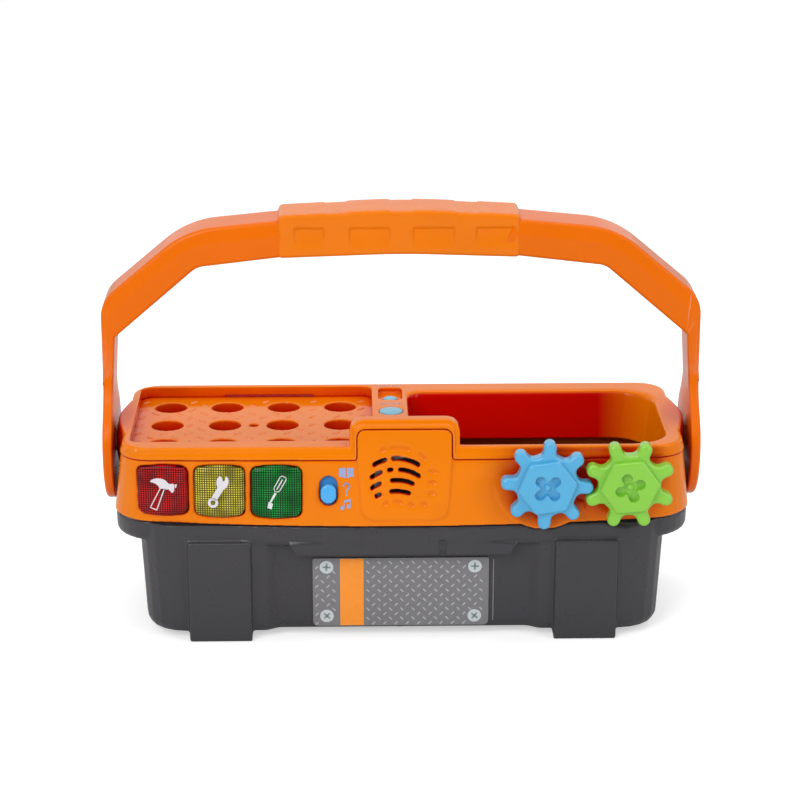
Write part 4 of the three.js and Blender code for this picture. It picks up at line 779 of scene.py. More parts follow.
class TOOLBOX_OT_stage(bpy.types.Operator):
    """Makes the camera, the pale floor, the lamps and the light of the room"""

    bl_idname = "toolbox.stage"
    bl_label = "Stage"

    def execute(self, context):
        sizes = context.scene.toolbox_stage
        scene = context.scene
        scene.view_settings.view_transform = "Standard"
        camera = bpy.data.cameras.new("camera")
        camera.lens = sizes.camera_lens
        camera.sensor_width = 36
        picture_width = 800
        camera.shift_x = -1 / picture_width
        camera.clip_start, camera.clip_end = 0.05, 50
        eye = bpy.data.objects.new("camera", camera)
        eye.location = sizes.camera_place
        eye.rotation_euler = (sizes.camera_tilt, 0, sizes.camera_turn)
        scene.collection.objects.link(eye)
        scene.camera = eye
        self.floor(scene, sizes)
        lamps = (
            ("key_lamp", sizes.key_power, 0.9, 0.9, (-0.75, -1.3, 1.05)),
            ("fill_lamp", sizes.fill_power, 0.5, 1.2, (1.25, -0.95, 0.75)),
            ("top_lamp", sizes.top_power, 1.6, 1.0, (0.1, 0.35, 1.7)),
        )
        for name, power, wide, tall, place in lamps:
            lamp = bpy.data.lights.new(name, "AREA")
            lamp.shape = "RECTANGLE"
            lamp.size, lamp.size_y = wide, tall
            lamp.energy = power
            stand = bpy.data.objects.new(name, lamp)
            stand.location = place
            aimed_at = Vector((0, 0, 0.1))
            aim = aimed_at - Vector(place)
            stand.rotation_euler = aim.to_track_quat("-Z", "Y").to_euler()
            scene.collection.objects.link(stand)
        self.room(scene, sizes)
        return {"FINISHED"}

    def floor(self, scene, sizes):
        half = sizes.floor_size / 2
        mesh = bpy.data.meshes.new("floor")
        mesh.from_pydata([(x, y, 0) for x, y in oblong(-half, -half, half, half)], [], [(0, 1, 2, 3)])
        floor = bpy.data.objects.new("floor", mesh)
        made = Nodes("floor_paper")
        made.set(colour=sizes.floor_colour, roughness=0.9, specular=0.1)
        ray = made.add("ShaderNodeLightPath")
        glow = 0.5
        seen = made.times(ray.outputs["Is Camera Ray"], glow)
        made.tree.links.new(seen, made.shader.inputs["Emission Strength"])
        made.shader.inputs["Emission Color"].default_value = (1, 1, 1, 1)
        mesh.materials.append(made.material)
        scene.collection.objects.link(floor)

    def room(self, scene, sizes):
        """White to the camera, even light on the piece, and a dim end for gloss to mirror."""
        world = bpy.data.worlds.new("room")
        world.use_nodes = True
        tree = world.node_tree
        tree.nodes.clear()

        def ramp(value, start, end, low, high):
            levels = {"From Min": start, "From Max": end, "To Min": low, "To Max": high}
            return add_node(tree, "ShaderNodeMapRange", {"Value": value, **levels}).outputs["Result"]

        def larger(one, other):
            return add_node(tree, "ShaderNodeMath", {0: one, 1: other}, operation="MAXIMUM").outputs[0]

        def blend(share, one, other):
            inputs = {0: share, 2: one, 3: other}
            return add_node(tree, "ShaderNodeMix", inputs, data_type="FLOAT").outputs[0]

        around = add_node(tree, "ShaderNodeTexCoord").outputs["Generated"]
        way = add_node(tree, "ShaderNodeSeparateXYZ", {0: around})
        behind = ramp(way.outputs["Y"], -0.9, -0.35, 0.05, 1.0)
        above = ramp(way.outputs["Z"], 0.3, 0.7, 0.0, 1.0)
        studio = larger(behind, above)
        ray = add_node(tree, "ShaderNodeLightPath")
        mirror = larger(ray.outputs["Is Glossy Ray"], ray.outputs["Is Transmission Ray"])
        soft = blend(mirror, sizes.room_light, studio)
        level = blend(ray.outputs["Is Camera Ray"], soft, 1.0)
        back = add_node(tree, "ShaderNodeBackground", {"Color": (1, 1, 1, 1), "Strength": level})
        out = add_node(tree, "ShaderNodeOutputWorld")
        tree.links.new(back.outputs[0], out.inputs["Surface"])
        scene.world = world


class TOOLBOX_OT_finishes(bpy.types.Operator):
    """Mixes every finish and gives the unseen CAD pieces theirs"""

    bl_idname = "toolbox.finishes"
    bl_label = "Finishes"

    def execute(self, context):
        mix_finishes(context.scene.toolbox_colours)
        slots = {
            "tub_plastic": "charcoal",
            "housing_plastic": "orange",
            "handle_plastic": "handle",
            "grip_plastic": "grip",
            "red_lens_plastic": "red",
            "yellow_lens_plastic": "yellow",
            "green_lens_plastic": "green",
            "guide_plastic": "milky",
            "red_lamp_plastic": "lamp_red",
            "yellow_lamp_plastic": "lamp_yellow",
            "green_lamp_plastic": "lamp_green",
            "switch_plastic": "black",
            "board_laminate": "board",
            "speaker_steel": "basket",
            "speaker_paper": "paper",
            "speaker_ferrite": "ferrite",
            "button_plastic": "button",
            "slider_plastic": "slider",
            "blue_gear_plastic": "sky",
            "green_gear_plastic": "lime",
            "screw_steel": "steel",
            "cell_case": "case",
            "contact_steel": "strip",
            "label_film": "ground",
        }
        for part in frame["record"]["subparts"]:
            thing = frame["nodes"][part["node"]]
            thing.data.materials.clear()
            thing.data.materials.append(FINISH[slots[part["material_slot"]]])
        return {"FINISHED"}


def parting_line(inset):
    """The housing's foot seen from above, moved inwards."""
    half, back, turn = 155.3 - inset, 59.0 - inset, 21.0 - inset
    side = half - turn
    quarter = math.pi / 2
    front = front_wall(side, PARTING) + inset
    line = arc((side, back - turn), turn, 0, quarter, 8)
    line += arc((-side, back - turn), turn, quarter, 2 * quarter, 8)
    line += arc((-side, front + turn), turn, 2 * quarter, 3 * quarter, 8)
    steps = 24
    for i in range(1, steps):
        x = side * (2 * i / steps - 1)
        line.append((x, front_wall(x, PARTING) + inset))
    return line + arc((side, front + turn), turn, 3 * quarter, 4 * quarter, 8)[:-1]


class TOOLBOX_OT_shells(bpy.types.Operator):
    """Makes the tub, the housing, the deck and the peg tray with moulded edges, and the parting lip"""

    bl_idname = "toolbox.shells"
    bl_label = "Shells"

    def execute(self, context):
        sizes = context.scene.toolbox_shells
        grid = sizes.grid / MM
        for name, node, scale, finish_name, slot in (
            ("tub_shell", "tub", 1.3, "charcoal", "tub_plastic"),
            ("housing_shell", "side_housing", 1.0, "orange", "housing_plastic"),
            ("deck_shell", "top_deck", 0.85, "deck", "housing_plastic"),
            ("tray_shell", "peg_tray", 1.0, "orange", "housing_plastic"),
        ):
            softened(name, node, grid * scale, sizes.rounds, sizes.keep, FINISH[finish_name], "box")
        low, high, behind, thick = PARTING - 3, PARTING + 3.5, 3.0, 0.9
        corners = ((behind, low), (behind, high), (behind + thick, high), (behind + thick, low))
        band = Shape()
        rings = band.chain([[(x, y, z) for x, y in parting_line(inset)] for inset, z in corners])
        band.bridge(rings[-1], rings[0])
        piece("parting_lip", band, FINISH["charcoal"], "box")
        return {"FINISHED"}


class TOOLBOX_OT_tray(bpy.types.Operator):
    """Makes the raised tread of the peg tray, and a thin bar of painted shade where its back wall has a slot"""

    bl_idname = "toolbox.tray"
    bl_label = "Tray tread"

    def execute(self, context):
        floor = 104.3
        left, right, front, back = -142.5, -18.5, -40.5, 47.5
        pitch, middle, clear = 31.5, (-80.7, 0.8), 11.6
        sockets = [
            Vector((middle[0] + pitch * (column - 1.5), middle[1] + pitch * (row - 1)))
            for column in range(4)
            for row in range(3)
        ]
        sockets.append(Vector(middle))
        shape = Shape()
        bar_step, bar_row, nose = 13.4, 6.8, 0.35
        for place, turn in tread((left, front), (right, back), bar_step, bar_row):
            if min((Vector(place) - socket).length for socket in sockets) < clear:
                continue
            foot = bar(place, 5.6, 1.7, turn, nose)
            top = bar(place, 4.8, 0.8, turn, nose)
            levels = ((foot, -0.1), (foot, 0.05), (top, 0.4))
            shape.merge(Shape().loft([[(x, y, floor + rise) for x, y in line] for line, rise in levels]))
        piece("tray_tread", shape, FINISH["orange"], "box", crease=50)
        # The slot is not cut: a thin bar proud of the back wall is painted shade standing for it.
        slot_left, slot_right, slot_back = -98.8, -48.9, 50.8
        slot_line = oblong(slot_left, floor + 0.2, slot_right, floor + 1.5)
        slot = plate(slot_line, slot_back + 0.5, slot_back - 0.4)
        piece("tray_slot_shade_bar", slot, FINISH["deep"], "box")
        return {"FINISHED"}


ARCH_OUTER = [(161.0, 126.0, 0), (161.0, 178.6, 20), (114.6, 217.6, 52), (0.0, 229.0, 700)]
ARCH_INNER = [(155.8, 126.0, 0), (153.8, 158.5, 1), (109.0, 197.1, 12), (0.0, 210.0, 500)]
GRIP_HALF = 63.4
PIVOT = 97.0


def both_sides(line):
    return line + [(-x, z, radius) for x, z, radius in reversed(line[:-1])]


class TOOLBOX_OT_handle(bpy.types.Operator):
    """Makes the carry handle: arch with a ridge along its face, paddles, back covers and grip"""

    bl_idname = "toolbox.handle"
    bl_label = "Handle"

    def execute(self, context):
        sizes = context.scene.toolbox_handle
        self.half = sizes.half_depth / MM
        self.edge = sizes.edge / MM
        self.ridge = sizes.ridge / MM
        steps = 56
        outer = rounded(both_sides(ARCH_OUTER), steps, closed=False)
        inner = rounded(both_sides(ARCH_INNER), steps, closed=False)
        shape = Shape().loft([self.section(Vector(a), Vector(b)) for a, b in zip(outer, inner)])
        for side in (-1, 1):
            shape.merge(self.paddle(side))
        piece("handle_arch", shape, FINISH["handle"], "handle", ["handle_frame"], 40)
        for side, name in ((-1, "left"), (1, "right")):
            piece(
                f"handle_back_{name}", self.cover(outer, inner, side), FINISH["handle"], "handle",
                [f"handle_cover_{name}"],
            )
        grip = self.grip(sizes.dimple / MM, sizes.wave / MM)
        piece("grip_shell", grip, FINISH["grip"], "handle", ["grip_sleeve"], 40)
        return {"FINISHED"}

    def section(self, outer, inner):
        """One closed ring across the arch, from its outer edge to its inner edge and back."""
        across = inner - outer
        width = across.length
        across.normalize()
        hidden = abs(outer.x) < GRIP_HALF - 3
        under_grip = 2.5
        if hidden:
            outer = outer + across * under_grip
            width -= 2 * under_grip
        half = self.half - under_grip if hidden else self.half
        full_width = 19
        ridge = 0 if hidden else self.ridge * min(width / full_width, 1)
        edge = min(self.edge, width * 0.35)
        crest, crest_half = 0.4 * width, 0.5
        turns = [(math.sin(math.pi / 2 * i / 4), math.cos(math.pi / 2 * i / 4)) for i in range(5)]
        lean = [(edge * (1 - c), -half + edge * (1 - s)) for s, c in turns]
        front = lean + [
            (crest - crest_half, -half - ridge * 0.92),
            (crest, -half - ridge),
            (crest + crest_half, -half - ridge * 0.95),
        ]
        front += [(width - d, y) for d, y in reversed(lean)]
        back = [(d, -y) for d, y in lean]
        back = [(width - d, y) for d, y in back] + list(reversed(back))
        return [(outer.x + across.x * d, y, outer.y + across.y * d) for d, y in front + back]

    def paddle(self, side):
        """The round foot of one arm, about the pivot, with its stub."""
        radius, neck_height, shoulder = 31.8, 128.0, 108.0
        outline = rounded(
            [
                (-radius, PIVOT - radius, radius), (radius, PIVOT - radius, radius),
                (radius, shoulder, 0.8 * radius), (self.half, neck_height, radius),
                (self.half, neck_height + 6, 0), (-self.half, neck_height + 6, 0),
                (-self.half, neck_height, radius), (-radius, shoulder, 0.8 * radius),
            ],
            20,
        )
        inner, outer, edge = 155.84, 160.96, 1.8
        rings = []
        for inset, drop in reversed(edge_steps(edge * 0.5, 4)):
            rings.append([(side * (inner + drop), y, z) for y, z in shrunk(outline, inset)])
        for inset, drop in edge_steps(edge, 5):
            rings.append([(side * (outer - drop), y, z) for y, z in shrunk(outline, inset)])
        shape = Shape().loft(rings)
        stub_line, stub_ends = circle((0, PIVOT), 6, 32), (151.2, 157)
        stub = [[(side * x, y, z) for y, z in stub_line] for x in stub_ends]
        return shape.merge(Shape().loft(stub))

    def cover(self, outer, inner, side):
        """A plate over the arch's hollow back, between the grip and the shoulder."""
        near, far, margin, rise = 72.0, 131.0, 2.9, 0.25
        high, low = [], []
        for a, b in zip(outer, inner):
            a, b = Vector(a), Vector(b)
            if near < side * a.x < far + 6:
                across = (b - a).normalized()
                high.append(tuple(a + across * margin))
                low.append(tuple(b - across * margin))
        outline = high + low[::-1]
        levels = ((0, self.half - 1.5), (0, self.half + rise * 0.3), (0.25, self.half + rise))
        return Shape().loft([[(x, y, z) for x, z in shrunk(outline, inset)] for inset, y in levels])

    def grip(self, dimple, wave):
        """The sleeve: soft ends, four dimples to the front and back, and waves on top."""
        half_depth, edge, end = 14.3, 2.0, 2.6
        dimples = ((-49, 7.4), (-17, 10.2), (17.2, 10.6), (50.2, 10))
        low_edge, high_edge = 209.6, 219.8
        hollows = ((-35, 5), (0, 5.2), (35, 5.2))
        longer_left, past_end = 2.6, 70
        left, right = -GRIP_HALF - longer_left, GRIP_HALF
        crown = [(-past_end, 225.25, 0), (0, 229.0, 500), (past_end, 225.25, 0)]
        crown = rounded(crown, 60, closed=False)
        foot = [(-past_end, 201.98, 0), (0, 204.3, 500), (past_end, 201.98, 0)]
        foot = rounded(foot, 60, closed=False)

        def height(line, x):
            for (x0, z0), (x1, z1) in zip(line, line[1:]):
                if x0 <= x <= x1:
                    return z0 + (z1 - z0) * (x - x0) / max(x1 - x0, 1e-6)
            return line[0][1]

        rings = []
        count, rows = 200, 22
        for i in range(count + 1):
            x = left + (right - left) * i / count
            from_end = min(x - left, right - x)
            inset = end - math.sqrt(max(end ** 2 - (end - min(from_end, end)) ** 2, 0))
            top = height(crown, x) - inset
            base = height(foot, x) + inset
            depth = half_depth - inset
            top -= wave * max(window(x, c - h, c + h, 2) for c, h in hollows)
            hollow = max(window(x, c - h, c + h, 1.0) for c, h in dimples)
            quarter = edge_steps(edge, 4)
            heights = [base + edge + (top - base - 2 * edge) * k / rows for k in range(1, rows)]
            line = [(depth - inset, base + drop) for inset, drop in reversed(quarter)]
            for z in heights:
                pressed = window(z, low_edge, high_edge - 2, 1.6) * smooth_step(z, low_edge - 6, high_edge)
                line.append((depth - dimple * hollow * pressed, z))
            line += [(depth - inset, top - drop) for inset, drop in quarter]
            ring = [(x, -y, z) for y, z in line] + [(x, y, z) for y, z in reversed(line)]
            rings.append(ring)
        return Shape().loft(rings)


def gear_outline(sizes, phase):
    """Round teeth on round roots, worked out from the count, the tip, the root and the tooth."""
    tip, root, half = sizes.tip / MM, sizes.root / MM, sizes.tooth / MM
    fillet = half
    fillet_at = math.sqrt((root + fillet) ** 2 - (half + fillet) ** 2)
    fillet_turn = math.atan2(half + fillet, fillet_at)
    outline = []
    for tooth in range(sizes.teeth):
        turn = phase + tooth * 2 * math.pi / sizes.teeth
        rise = arc((fillet_at, -(half + fillet)), fillet, math.pi - fillet_turn, math.pi / 2, 6)
        tooth_line = rise + arc((tip - half, 0), half, -math.pi / 2, math.pi / 2, 14)
        tooth_line += [(x, -y) for x, y in reversed(rise)]
        cos, sin = math.cos(turn), math.sin(turn)
        outline += [(x * cos - y * sin, x * sin + y * cos) for x, y in tooth_line]
    return outline


def cross_outline(turn, reach=5.4, lobe=2.8, neck=1.25):
    """Two crossed bars with round ends and drawn-in middles."""
    away = reach * math.cos(math.pi / 4)
    neck_at = away + math.sqrt((lobe + neck) ** 2 - reach ** 2 / 2)

    def polar(distance, angle):
        return Vector((distance * math.cos(angle), distance * math.sin(angle)))

    outline = []
    for i in range(4):
        angle = turn + i * math.pi / 2
        end = polar(reach, angle)
        before, after = polar(neck_at, angle - math.pi / 4), polar(neck_at, angle + math.pi / 4)
        start = math.atan2(*(before - end).yx)
        sweep = (math.atan2(*(after - end).yx) - start) % (2 * math.pi)
        outline += arc(end, lobe, start, start + sweep, 14)
        following = polar(reach, angle + math.pi / 2)
        start = math.atan2(*(end - after).yx)
        sweep = (start - math.atan2(*(following - after).yx)) % (2 * math.pi)
        outline += arc(after, neck, start, start - sweep, 6)[1:-1]
    return outline


class TOOLBOX_OT_gears(bpy.types.Operator):
    """Makes the two meshed gears, each with round teeth, a six-sided boss and a crossed socket"""

    bl_idname = "toolbox.gears"
    bl_label = "Gears"

    def execute(self, context):
        sizes = context.scene.toolbox_gears
        for name, finish_name, phase, boss_turn, cross_turn in (
            ("blue", "sky", -0.06, 0.14, 0.75),
            ("green", "lime", math.pi / sizes.teeth, 0.09, 0.36),
        ):
            shape = self.gear(sizes, phase, boss_turn, cross_turn)
            spin = next(j for j in frame["joints"] if j["name"] == f"{name}_gear_spin")
            shape.move(Matrix.Translation((spin["pos_m"][0] / MM, 0, spin["pos_m"][2] / MM)))
            piece(
                f"{name}_wheel_face", shape, FINISH[finish_name], f"{name}_wheel",
                [f"{name}_gear"], 40,
            )
        return {"FINISHED"}

    def gear(self, sizes, phase, boss_turn, cross_turn):
        back, face, front = -62.6, -69.8, -73.2
        edge, boss_edge, back_edge = sizes.edge / MM, 1.3, 0.6
        teeth = gear_outline(sizes, phase)
        shape = Shape()

        def rings(outline, at, insets, way):
            return [[(x, at + way * drop, z) for x, z in shrunk(outline, inset)] for inset, drop in insets]

        def rounds(levels, steps):
            return [[(x, y, z) for x, z in circle((0, 0), radius, steps)] for radius, y in levels]

        wheel = shape.chain(
            rings(teeth, back, reversed(edge_steps(back_edge, 3)), -1)
            + rings(teeth, face, edge_steps(edge, 6), 1)
        )
        shaft_end, shaft, hub, step = -51.6, 4.0, 5.0, 0.3
        stem = shape.chain(
            rounds(((shaft, shaft_end), (shaft, back + step), (hub, back + step), (hub, back)), 40)
        )
        shape.lid(stem[0])
        shape.lid(wheel[0], stem[-1])
        reach, boss_corner = sizes.boss / MM, 2.4
        turns = [boss_turn + i * math.pi / 3 for i in range(6)]
        boss_line = rounded([(reach * math.cos(a), reach * math.sin(a), boss_corner) for a in turns], 6)
        root = 1.6
        boss = shape.chain(
            [[(x, face + root, z) for x, z in boss_line]]
            + rings(boss_line, front, edge_steps(boss_edge, 5), 1)
        )
        shape.lid(boss[0])
        shape.lid(wheel[-1])
        deep, lip = 4.0, 0.35
        cross = cross_outline(cross_turn)
        levels = ((-lip, front), (-lip * 0.3, front + lip * 0.3), (0, front + lip), (0.2, front + deep))
        socket = shape.chain([[(x, y, z) for x, z in shrunk(cross, inset)] for inset, y in levels])
        shape.lid(boss[-1], socket[0])
        foot, top, middle = 1.6, 1.3, front + deep / 2
        pin = shape.chain(rounds(((foot, front + deep), (foot, middle + step), (top, middle)), 24))
        shape.lid(socket[-1], pin[0])
        shape.lid(pin[-1])
        return shape


LIGHT_HEIGHT = 86.6
LENS_FACE = 2.0


def lens_outline():
    half, tall, crowned, turn = 13.2, 13.0, 14.6, 3.4
    return rounded(
        [
            (-half, -tall, 1.3 * turn), (0, -crowned, 4 * half), (half, -tall, 1.3 * turn),
            (half, tall, turn), (0, crowned, 4 * half), (-half, tall, turn),
        ],
        8,
    )


def hammer_sign():
    head = [
        (-6.3, 5.7), (-5.4, 6.6), (-4.2, 7.2), (-2.4, 7.5), (-0.6, 7.4), (0.9, 7.0), (2.1, 6.3), (3.2, 4.9),
        (4.3, 4.3), (5.6, 4.7), (6.6, 4.3), (6.4, 0.4), (5.3, -0.7), (4.1, 0.5), (3.5, 1.4), (2.3, 1.2),
        (1.0, 1.7), (-1.2, 1.6), (-2.1, 3.4), (-3.3, 4.4), (-4.6, 5.0), (-5.8, 5.2),
    ]
    face = [(6.9, 4.1), (8.0, 4.4), (7.5, 2.4), (6.9, 2.2)]
    shaft = [(-1.2, 1.3), (-6.6, -9.3), (-3.3, -10.7), (1.0, 1.0)]
    return [head, face] + stroke(shaft, 0.55)


def spanner_sign():
    jaw = [
        (0.3, 8.8), (1.6, 8.3), (2.0, 7.0), (2.2, 6.0), (3.2, 6.4), (3.7, 8.9), (4.9, 8.0), (5.3, 6.2),
        (4.9, 4.0), (3.9, 2.5), (2.4, 1.4), (-1.5, -5.0), (-4.5, -3.8), (-0.8, 2.4), (-1.3, 4.4), (-1.1, 6.8),
    ]
    rim = [
        [
            (-3.3 + r * math.cos(2 * math.pi * (i + n) / 24), -5.9 + r * math.sin(2 * math.pi * (i + n) / 24))
            for r, n in ((1.35, 0), (2.8, 0), (2.8, 1), (1.35, 1))
        ]
        for i in range(24)
    ]
    return [jaw] + rim


def driver_sign():
    top, foot, half = Vector((3.9, 7.8)), Vector((0.4, 1.6)), 1.75
    along = (foot - top).normalized()
    across = Vector((-along.y, along.x))
    end, low = -along * 0.9, along * 1.2
    handle = [
        top + end + across * half * 0.55, top + across * half, foot + across * half * 0.95,
        foot + low + across * 0.55, foot + low - across * 0.55, foot - across * half * 0.95,
        top - across * half, top + end - across * half * 0.55, top + end + across * half * 0.55,
    ]
    shaft = [(0.35, -0.6), (-2.5, -5.5), (-3.4, -5.1), (-0.75, 0.0)]
    blade = [(-3.9, -5.0), (-1.6, -6.1), (-2.4, -9.2), (-4.6, -8.3)]
    strip = stroke([tuple(top + along * 1.1), tuple(foot - along * 0.4)], 0.6)
    return stroke([tuple(p) for p in handle], 0.5) + strip + [shaft, blade]


class TOOLBOX_OT_light_buttons(bpy.types.Operator):
    """Makes the three clear light buttons and their tool signs"""

    bl_idname = "toolbox.light_buttons"
    bl_label = "Light buttons"

    def execute(self, context):
        crown = ((0.5, 0.22), (1.2, 0.4), (2.0, 0.5))
        inner, edge = 3.2, 1.3
        for name, x, sign in (
            ("red", -127.4, hammer_sign), ("yellow", -97.3, spanner_sign), ("green", -67.2, driver_sign),
        ):
            place = on_front(x, LIGHT_HEIGHT)
            body, slot = f"{name}_button", f"{name}_lens_plastic"
            lens = plate(lens_outline(), inner, crown[-1][1] - LENS_FACE, edge, 5, crown).move(place)
            piece(f"{name}_lens_cap", lens, FINISH[name], body, [f"{name}_lens"], 45)

            def on_lens(u, v, rise):
                return place @ Vector((u, -LENS_FACE - rise, v))

            piece(f"{name}_lens_sign", inked(sign(), on_lens), FINISH["white"], body)
        return {"FINISHED"}


class TOOLBOX_OT_switch(bpy.types.Operator):
    """Makes the knob of the slide switch, its plate and the three signs beside it"""

    bl_idname = "toolbox.switch"
    bl_label = "Slide switch"

    def execute(self, context):
        place = on_front(-39.6, 87.2)
        half, tall, low, proud, behind, edge = 4.1, 5.1, -1.4, 3.0, 3.4, 1.2
        knob_line = rounded([(x, z, half) for x, z in oblong(-half, low - tall, half, low + tall)], 10)
        crown = ((0.8, 0.2), (2.0, 0.3))
        knob = plate(knob_line, behind, crown[-1][1] - proud, edge, 5, crown).move(place)
        piece("slide_knob", knob, FINISH["slider"], "slider", ["mode_slider"], 45)
        wide, centre, high = 6.2, -1.8, 9.1
        plate_line = oblong(-wide, centre - high, wide, centre + high)
        back = plate(plate_line, behind + 1.2, behind - 0.4).move(place)
        piece("slide_plate", back, FINISH["plate"], "slider")
        piece("switch_signs", inked(self.signs(), on_wall), FINISH["blue"], "box")
        return {"FINISHED"}

    def signs(self):
        """An open book, a question mark and a pair of notes."""
        left, right, foot, head = -34.0, -26.2, 94.6, 99.4
        middle = (left + right) / 2
        gap, spine_half, spine_tall = 0.3, 1.5, 0.5
        book = [
            oblong(left, foot, middle - gap, head),
            oblong(middle + gap, foot, right, head),
            oblong(middle - spine_half, foot - spine_tall, middle + spine_half, foot),
        ]
        upright, bend, thick = -30.1, 1.55, 0.8
        centre = (upright, 89.6)
        hook_start, hook_end = math.pi * 0.95, -math.pi * 0.3
        ask = stroke(arc(centre, bend, hook_start, hook_end, 10), thick)
        ask += stroke([arc(centre, bend, 0, hook_end, 1)[1], (upright, 87.2), (upright, 86.4)], thick)
        ask.append(circle((upright, 85.1), 0.5, 12))
        head_radius, stem = 1.15, 0.5
        notes = [circle((-32.3, 78.0), head_radius, 16), circle((-28.9, 78.8), head_radius, 16)]
        notes += stroke([(-31.4, 78.0), (-31.4, 81.9)], stem)
        notes += stroke([(-28.0, 78.8), (-28.0, 82.7)], stem)
        notes.append([(-31.6, 80.9), (-27.8, 81.7), (-27.8, 82.9), (-31.6, 82.1)])
        return book + ask + notes


def lettered(name, text, centre, wide, tall, level, material):
    """Flat printed letters that lie on the deck."""
    thick, sunk = 0.12, 0.04
    font = bpy.data.curves.new(name, "FONT")
    font.body = text
    font.extrude = 0.01
    holder = bpy.data.objects.new(name, font)
    bpy.context.scene.collection.objects.link(holder)
    bpy.context.view_layer.update()
    mesh = bpy.data.meshes.new_from_object(holder.evaluated_get(bpy.context.evaluated_depsgraph_get()))
    bpy.data.objects.remove(holder)
    low = [min(v.co[i] for v in mesh.vertices) for i in range(3)]
    high = [max(v.co[i] for v in mesh.vertices) for i in range(3)]
    for vertex in mesh.vertices:
        share = [(vertex.co[i] - low[i]) / (high[i] - low[i]) for i in range(3)]
        x = centre[0] + (share[0] - 0.5) * wide
        y = centre[1] + (share[1] - 0.5) * tall
        vertex.co = in_frame((x, y, level + share[2] * thick - sunk))
    finish(mesh, 30)
    thing = bpy.data.objects.new(name, mesh)
    bpy.context.scene.collection.objects.link(thing)
    return settle(thing, material, "box", ())


class TOOLBOX_OT_push_buttons(bpy.types.Operator):
    """Makes the ON and OFF buttons and their words"""

    bl_idname = "toolbox.push_buttons"
    bl_label = "ON and OFF"

    def execute(self, context):
        bridge, seat, flange, flange_tall, dome = -5.4, 2.7, 0.9, 1.2, 0.25
        for name, y, radius, edge, surface, top in (
            ("on", 32.5, 3.85, 1.1, 107.3, 109.6), ("off", 6.0, 6.4, 0.5, RIM, 110.8),
        ):
            under, foot = surface - seat, radius + flange
            profile = [(foot, under - flange_tall), (foot, under), (radius, under)]
            profile += [(radius - inset, top - dome - drop) for inset, drop in edge_steps(edge, 5)]
            profile += [((radius - edge) * share, top - dome * share ** 2) for share in (0.8, 0.55, 0.25)]
            cap = turned(profile, (bridge, y))
            body, replaced = f"{name}_push", f"{name}_button"
            piece(f"{name}_cap", cap, FINISH["button"], body, [replaced], 45)
        words, tall = bridge - 0.4, 3.6
        lettered("on_print", "ON", (words, 50.9), 12.6, tall, RIM, FINISH["dusk"])
        lettered("off_print", "OFF", (words, 18.2), 12.4, tall, RIM, FINISH["dusk"])
        return {"FINISHED"}


def front_of(node):
    """The front of a CAD node as a surface(x, z, rise)."""
    mesh = frame["nodes"][node].data
    tree = BVHTree.FromPolygons([v.co for v in mesh.vertices], [p.vertices for p in mesh.polygons])

    def surface(x, z, rise):
        hit = tree.ray_cast(in_frame((x, -200, z)), Vector((0, 1, 0)))[0]
        return (x, (hit.y - SHIFT) / MM - rise, z)

    return surface


LABEL_LEFT, LABEL_RIGHT, LABEL_FOOT, LABEL_TOP = -48.6, 46.2, 6.4, 46.4


def on_label(x, z, rise):
    """A place on the label, which leans back with the tub's front."""
    high, low, front, lean, proud = 55.6, 3.5, -52.0, 2.6, 0.8
    share = (high - z) / (high - low)
    return (x, front + share * lean - proud - rise, z)


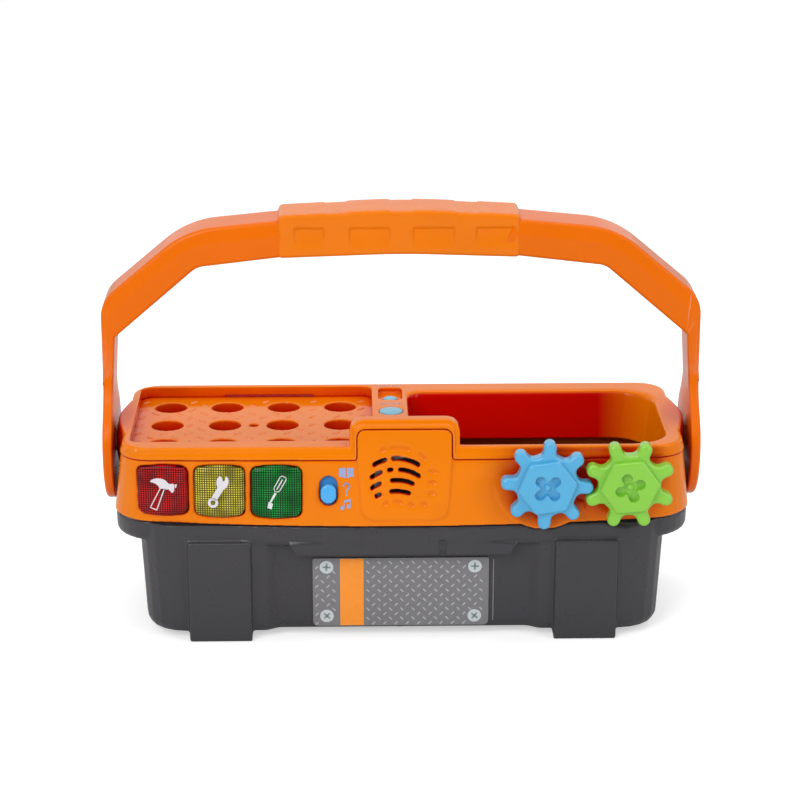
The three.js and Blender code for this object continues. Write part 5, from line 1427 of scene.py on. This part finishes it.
class TOOLBOX_OT_label(bpy.types.Operator):
    """Makes the front label, with its tread plate print, stripe and screw heads, and a black strip of painted
    shade for the apron's slot
    """

    bl_idname = "toolbox.label"
    bl_label = "Label"

    def execute(self, context):
        low_turn, high_turn = 2.9, 1.2
        corners = oblong(LABEL_LEFT, LABEL_FOOT, LABEL_RIGHT, LABEL_TOP)
        turns = (low_turn, low_turn, high_turn, high_turn)
        outline = rounded([(x, z, turn) for (x, z), turn in zip(corners, turns)])
        levels = ((0, -0.5), (0, -0.12), (0.15, 0))
        rings = [[on_label(x, z, rise) for x, z in shrunk(outline, inset)] for inset, rise in levels]
        piece("label_plate", Shape().loft(rings), FINISH["ground"], "box", ["front_label"])
        stripe_left, stripe_right, margin = -33.9, -21.2, 0.35
        stripe = oblong(stripe_left, LABEL_FOOT + margin, stripe_right, LABEL_TOP - margin)
        piece("label_stripe", inked([stripe], on_label, 0.05), FINISH["stripe"], "box")
        heads = [(-41.1, 41.2), (-41.1, 12.4), (38.6, 41.2), (38.6, 12.0)]
        head_radius, clear, past_stripe, bar_step, bar_row = 3.7, 1, 1.2, 6.1, 2.75
        low, high = (LABEL_LEFT + 2.2, LABEL_FOOT + 1.6), (LABEL_RIGHT - 1.5, LABEL_TOP - 1)
        bars = []
        for place, turn in tread(low, high, bar_step, bar_row):
            on_stripe = stripe_left - past_stripe < place[0] < stripe_right + past_stripe
            by_head = min((Vector(place) - Vector(head)).length for head in heads) < head_radius + clear
            if not on_stripe and not by_head:
                bars.append(bar(place, 2.5, 0.75, turn, 0.25))
        piece("label_bars", inked(bars, on_label, 0.06), FINISH["mark"], "box")
        discs = [circle(head, head_radius, 32) for head in heads]
        piece("label_screw_heads", inked(discs, on_label, 0.07), FINISH["head"], "box")
        arms = []
        for head, degrees in zip(heads, (85, 45, 88, 50)):
            arms += [bar(head, 4.8, 1.0, math.radians(degrees) + leg, 0.2) for leg in (0, math.pi / 2)]
        piece("label_screw_slots", inked(arms, on_label, 0.1), FINISH["cross"], "box")
        tub = front_of("tub")
        # Painted shade: a black strip laid on the tub's front stands for the gap at the apron's clasp.
        gap = self.strip(19.2, 22.6, 47.0, 59.0)
        piece("apron_gap_shade", inked([gap], tub, 0.35), FINISH["black"], "box")
        edge = self.strip(48.4, 48.9, 9.0, 45.0)
        piece("label_edge_line", inked([edge], tub, 0.15), FINISH["ground"], "box")
        return {"FINISHED"}

    def strip(self, left, right, foot, top):
        """An upright strip, with points up both sides so that it follows the tub's front."""
        steps = 16
        rise = [foot + (top - foot) * i / steps for i in range(steps + 1)]
        return [(left, z) for z in rise] + [(right, z) for z in reversed(rise)]


PIECES = [
    TOOLBOX_OT_stage,
    TOOLBOX_OT_finishes,
    TOOLBOX_OT_shells,
    TOOLBOX_OT_tray,
    TOOLBOX_OT_handle,
    TOOLBOX_OT_gears,
    TOOLBOX_OT_light_buttons,
    TOOLBOX_OT_switch,
    TOOLBOX_OT_push_buttons,
    TOOLBOX_OT_label,
]


class TOOLBOX_PT_panel(bpy.types.Panel):
    """Lists the pieces of the toy tool box"""

    bl_idname = "TOOLBOX_PT_panel"
    bl_label = "Toy tool box"
    bl_space_type = "VIEW_3D"
    bl_region_type = "UI"
    bl_category = "Tool Box"

    def draw(self, context):
        for operator in PIECES:
            self.layout.operator(operator.bl_idname)
        for name in SETTINGS:
            group = getattr(context.scene, name)
            box = self.layout.box()
            for key in group.bl_rna.properties.keys():
                if key not in ("rna_type", "name"):
                    box.prop(group, key)


SETTINGS = {
    "toolbox_stage": StageSettings,
    "toolbox_colours": ColourSettings,
    "toolbox_gears": GearSettings,
    "toolbox_handle": HandleSettings,
    "toolbox_shells": ShellSettings,
}


def register():
    for group in SETTINGS.values():
        bpy.utils.register_class(group)
    for operator in PIECES:
        bpy.utils.register_class(operator)
    bpy.utils.register_class(TOOLBOX_PT_panel)
    for name, group in SETTINGS.items():
        setattr(bpy.types.Scene, name, PointerProperty(type=group))


def unregister():
    for name in SETTINGS:
        delattr(bpy.types.Scene, name)
    bpy.utils.unregister_class(TOOLBOX_PT_panel)
    for operator in reversed(PIECES):
        bpy.utils.unregister_class(operator)
    for group in reversed(SETTINGS.values()):
        bpy.utils.unregister_class(group)


def main():
    register()
    for operator in PIECES:
        group, name = operator.bl_idname.split(".")
        getattr(getattr(bpy.ops, group), name)()


if __name__ == "__main__":
    main()
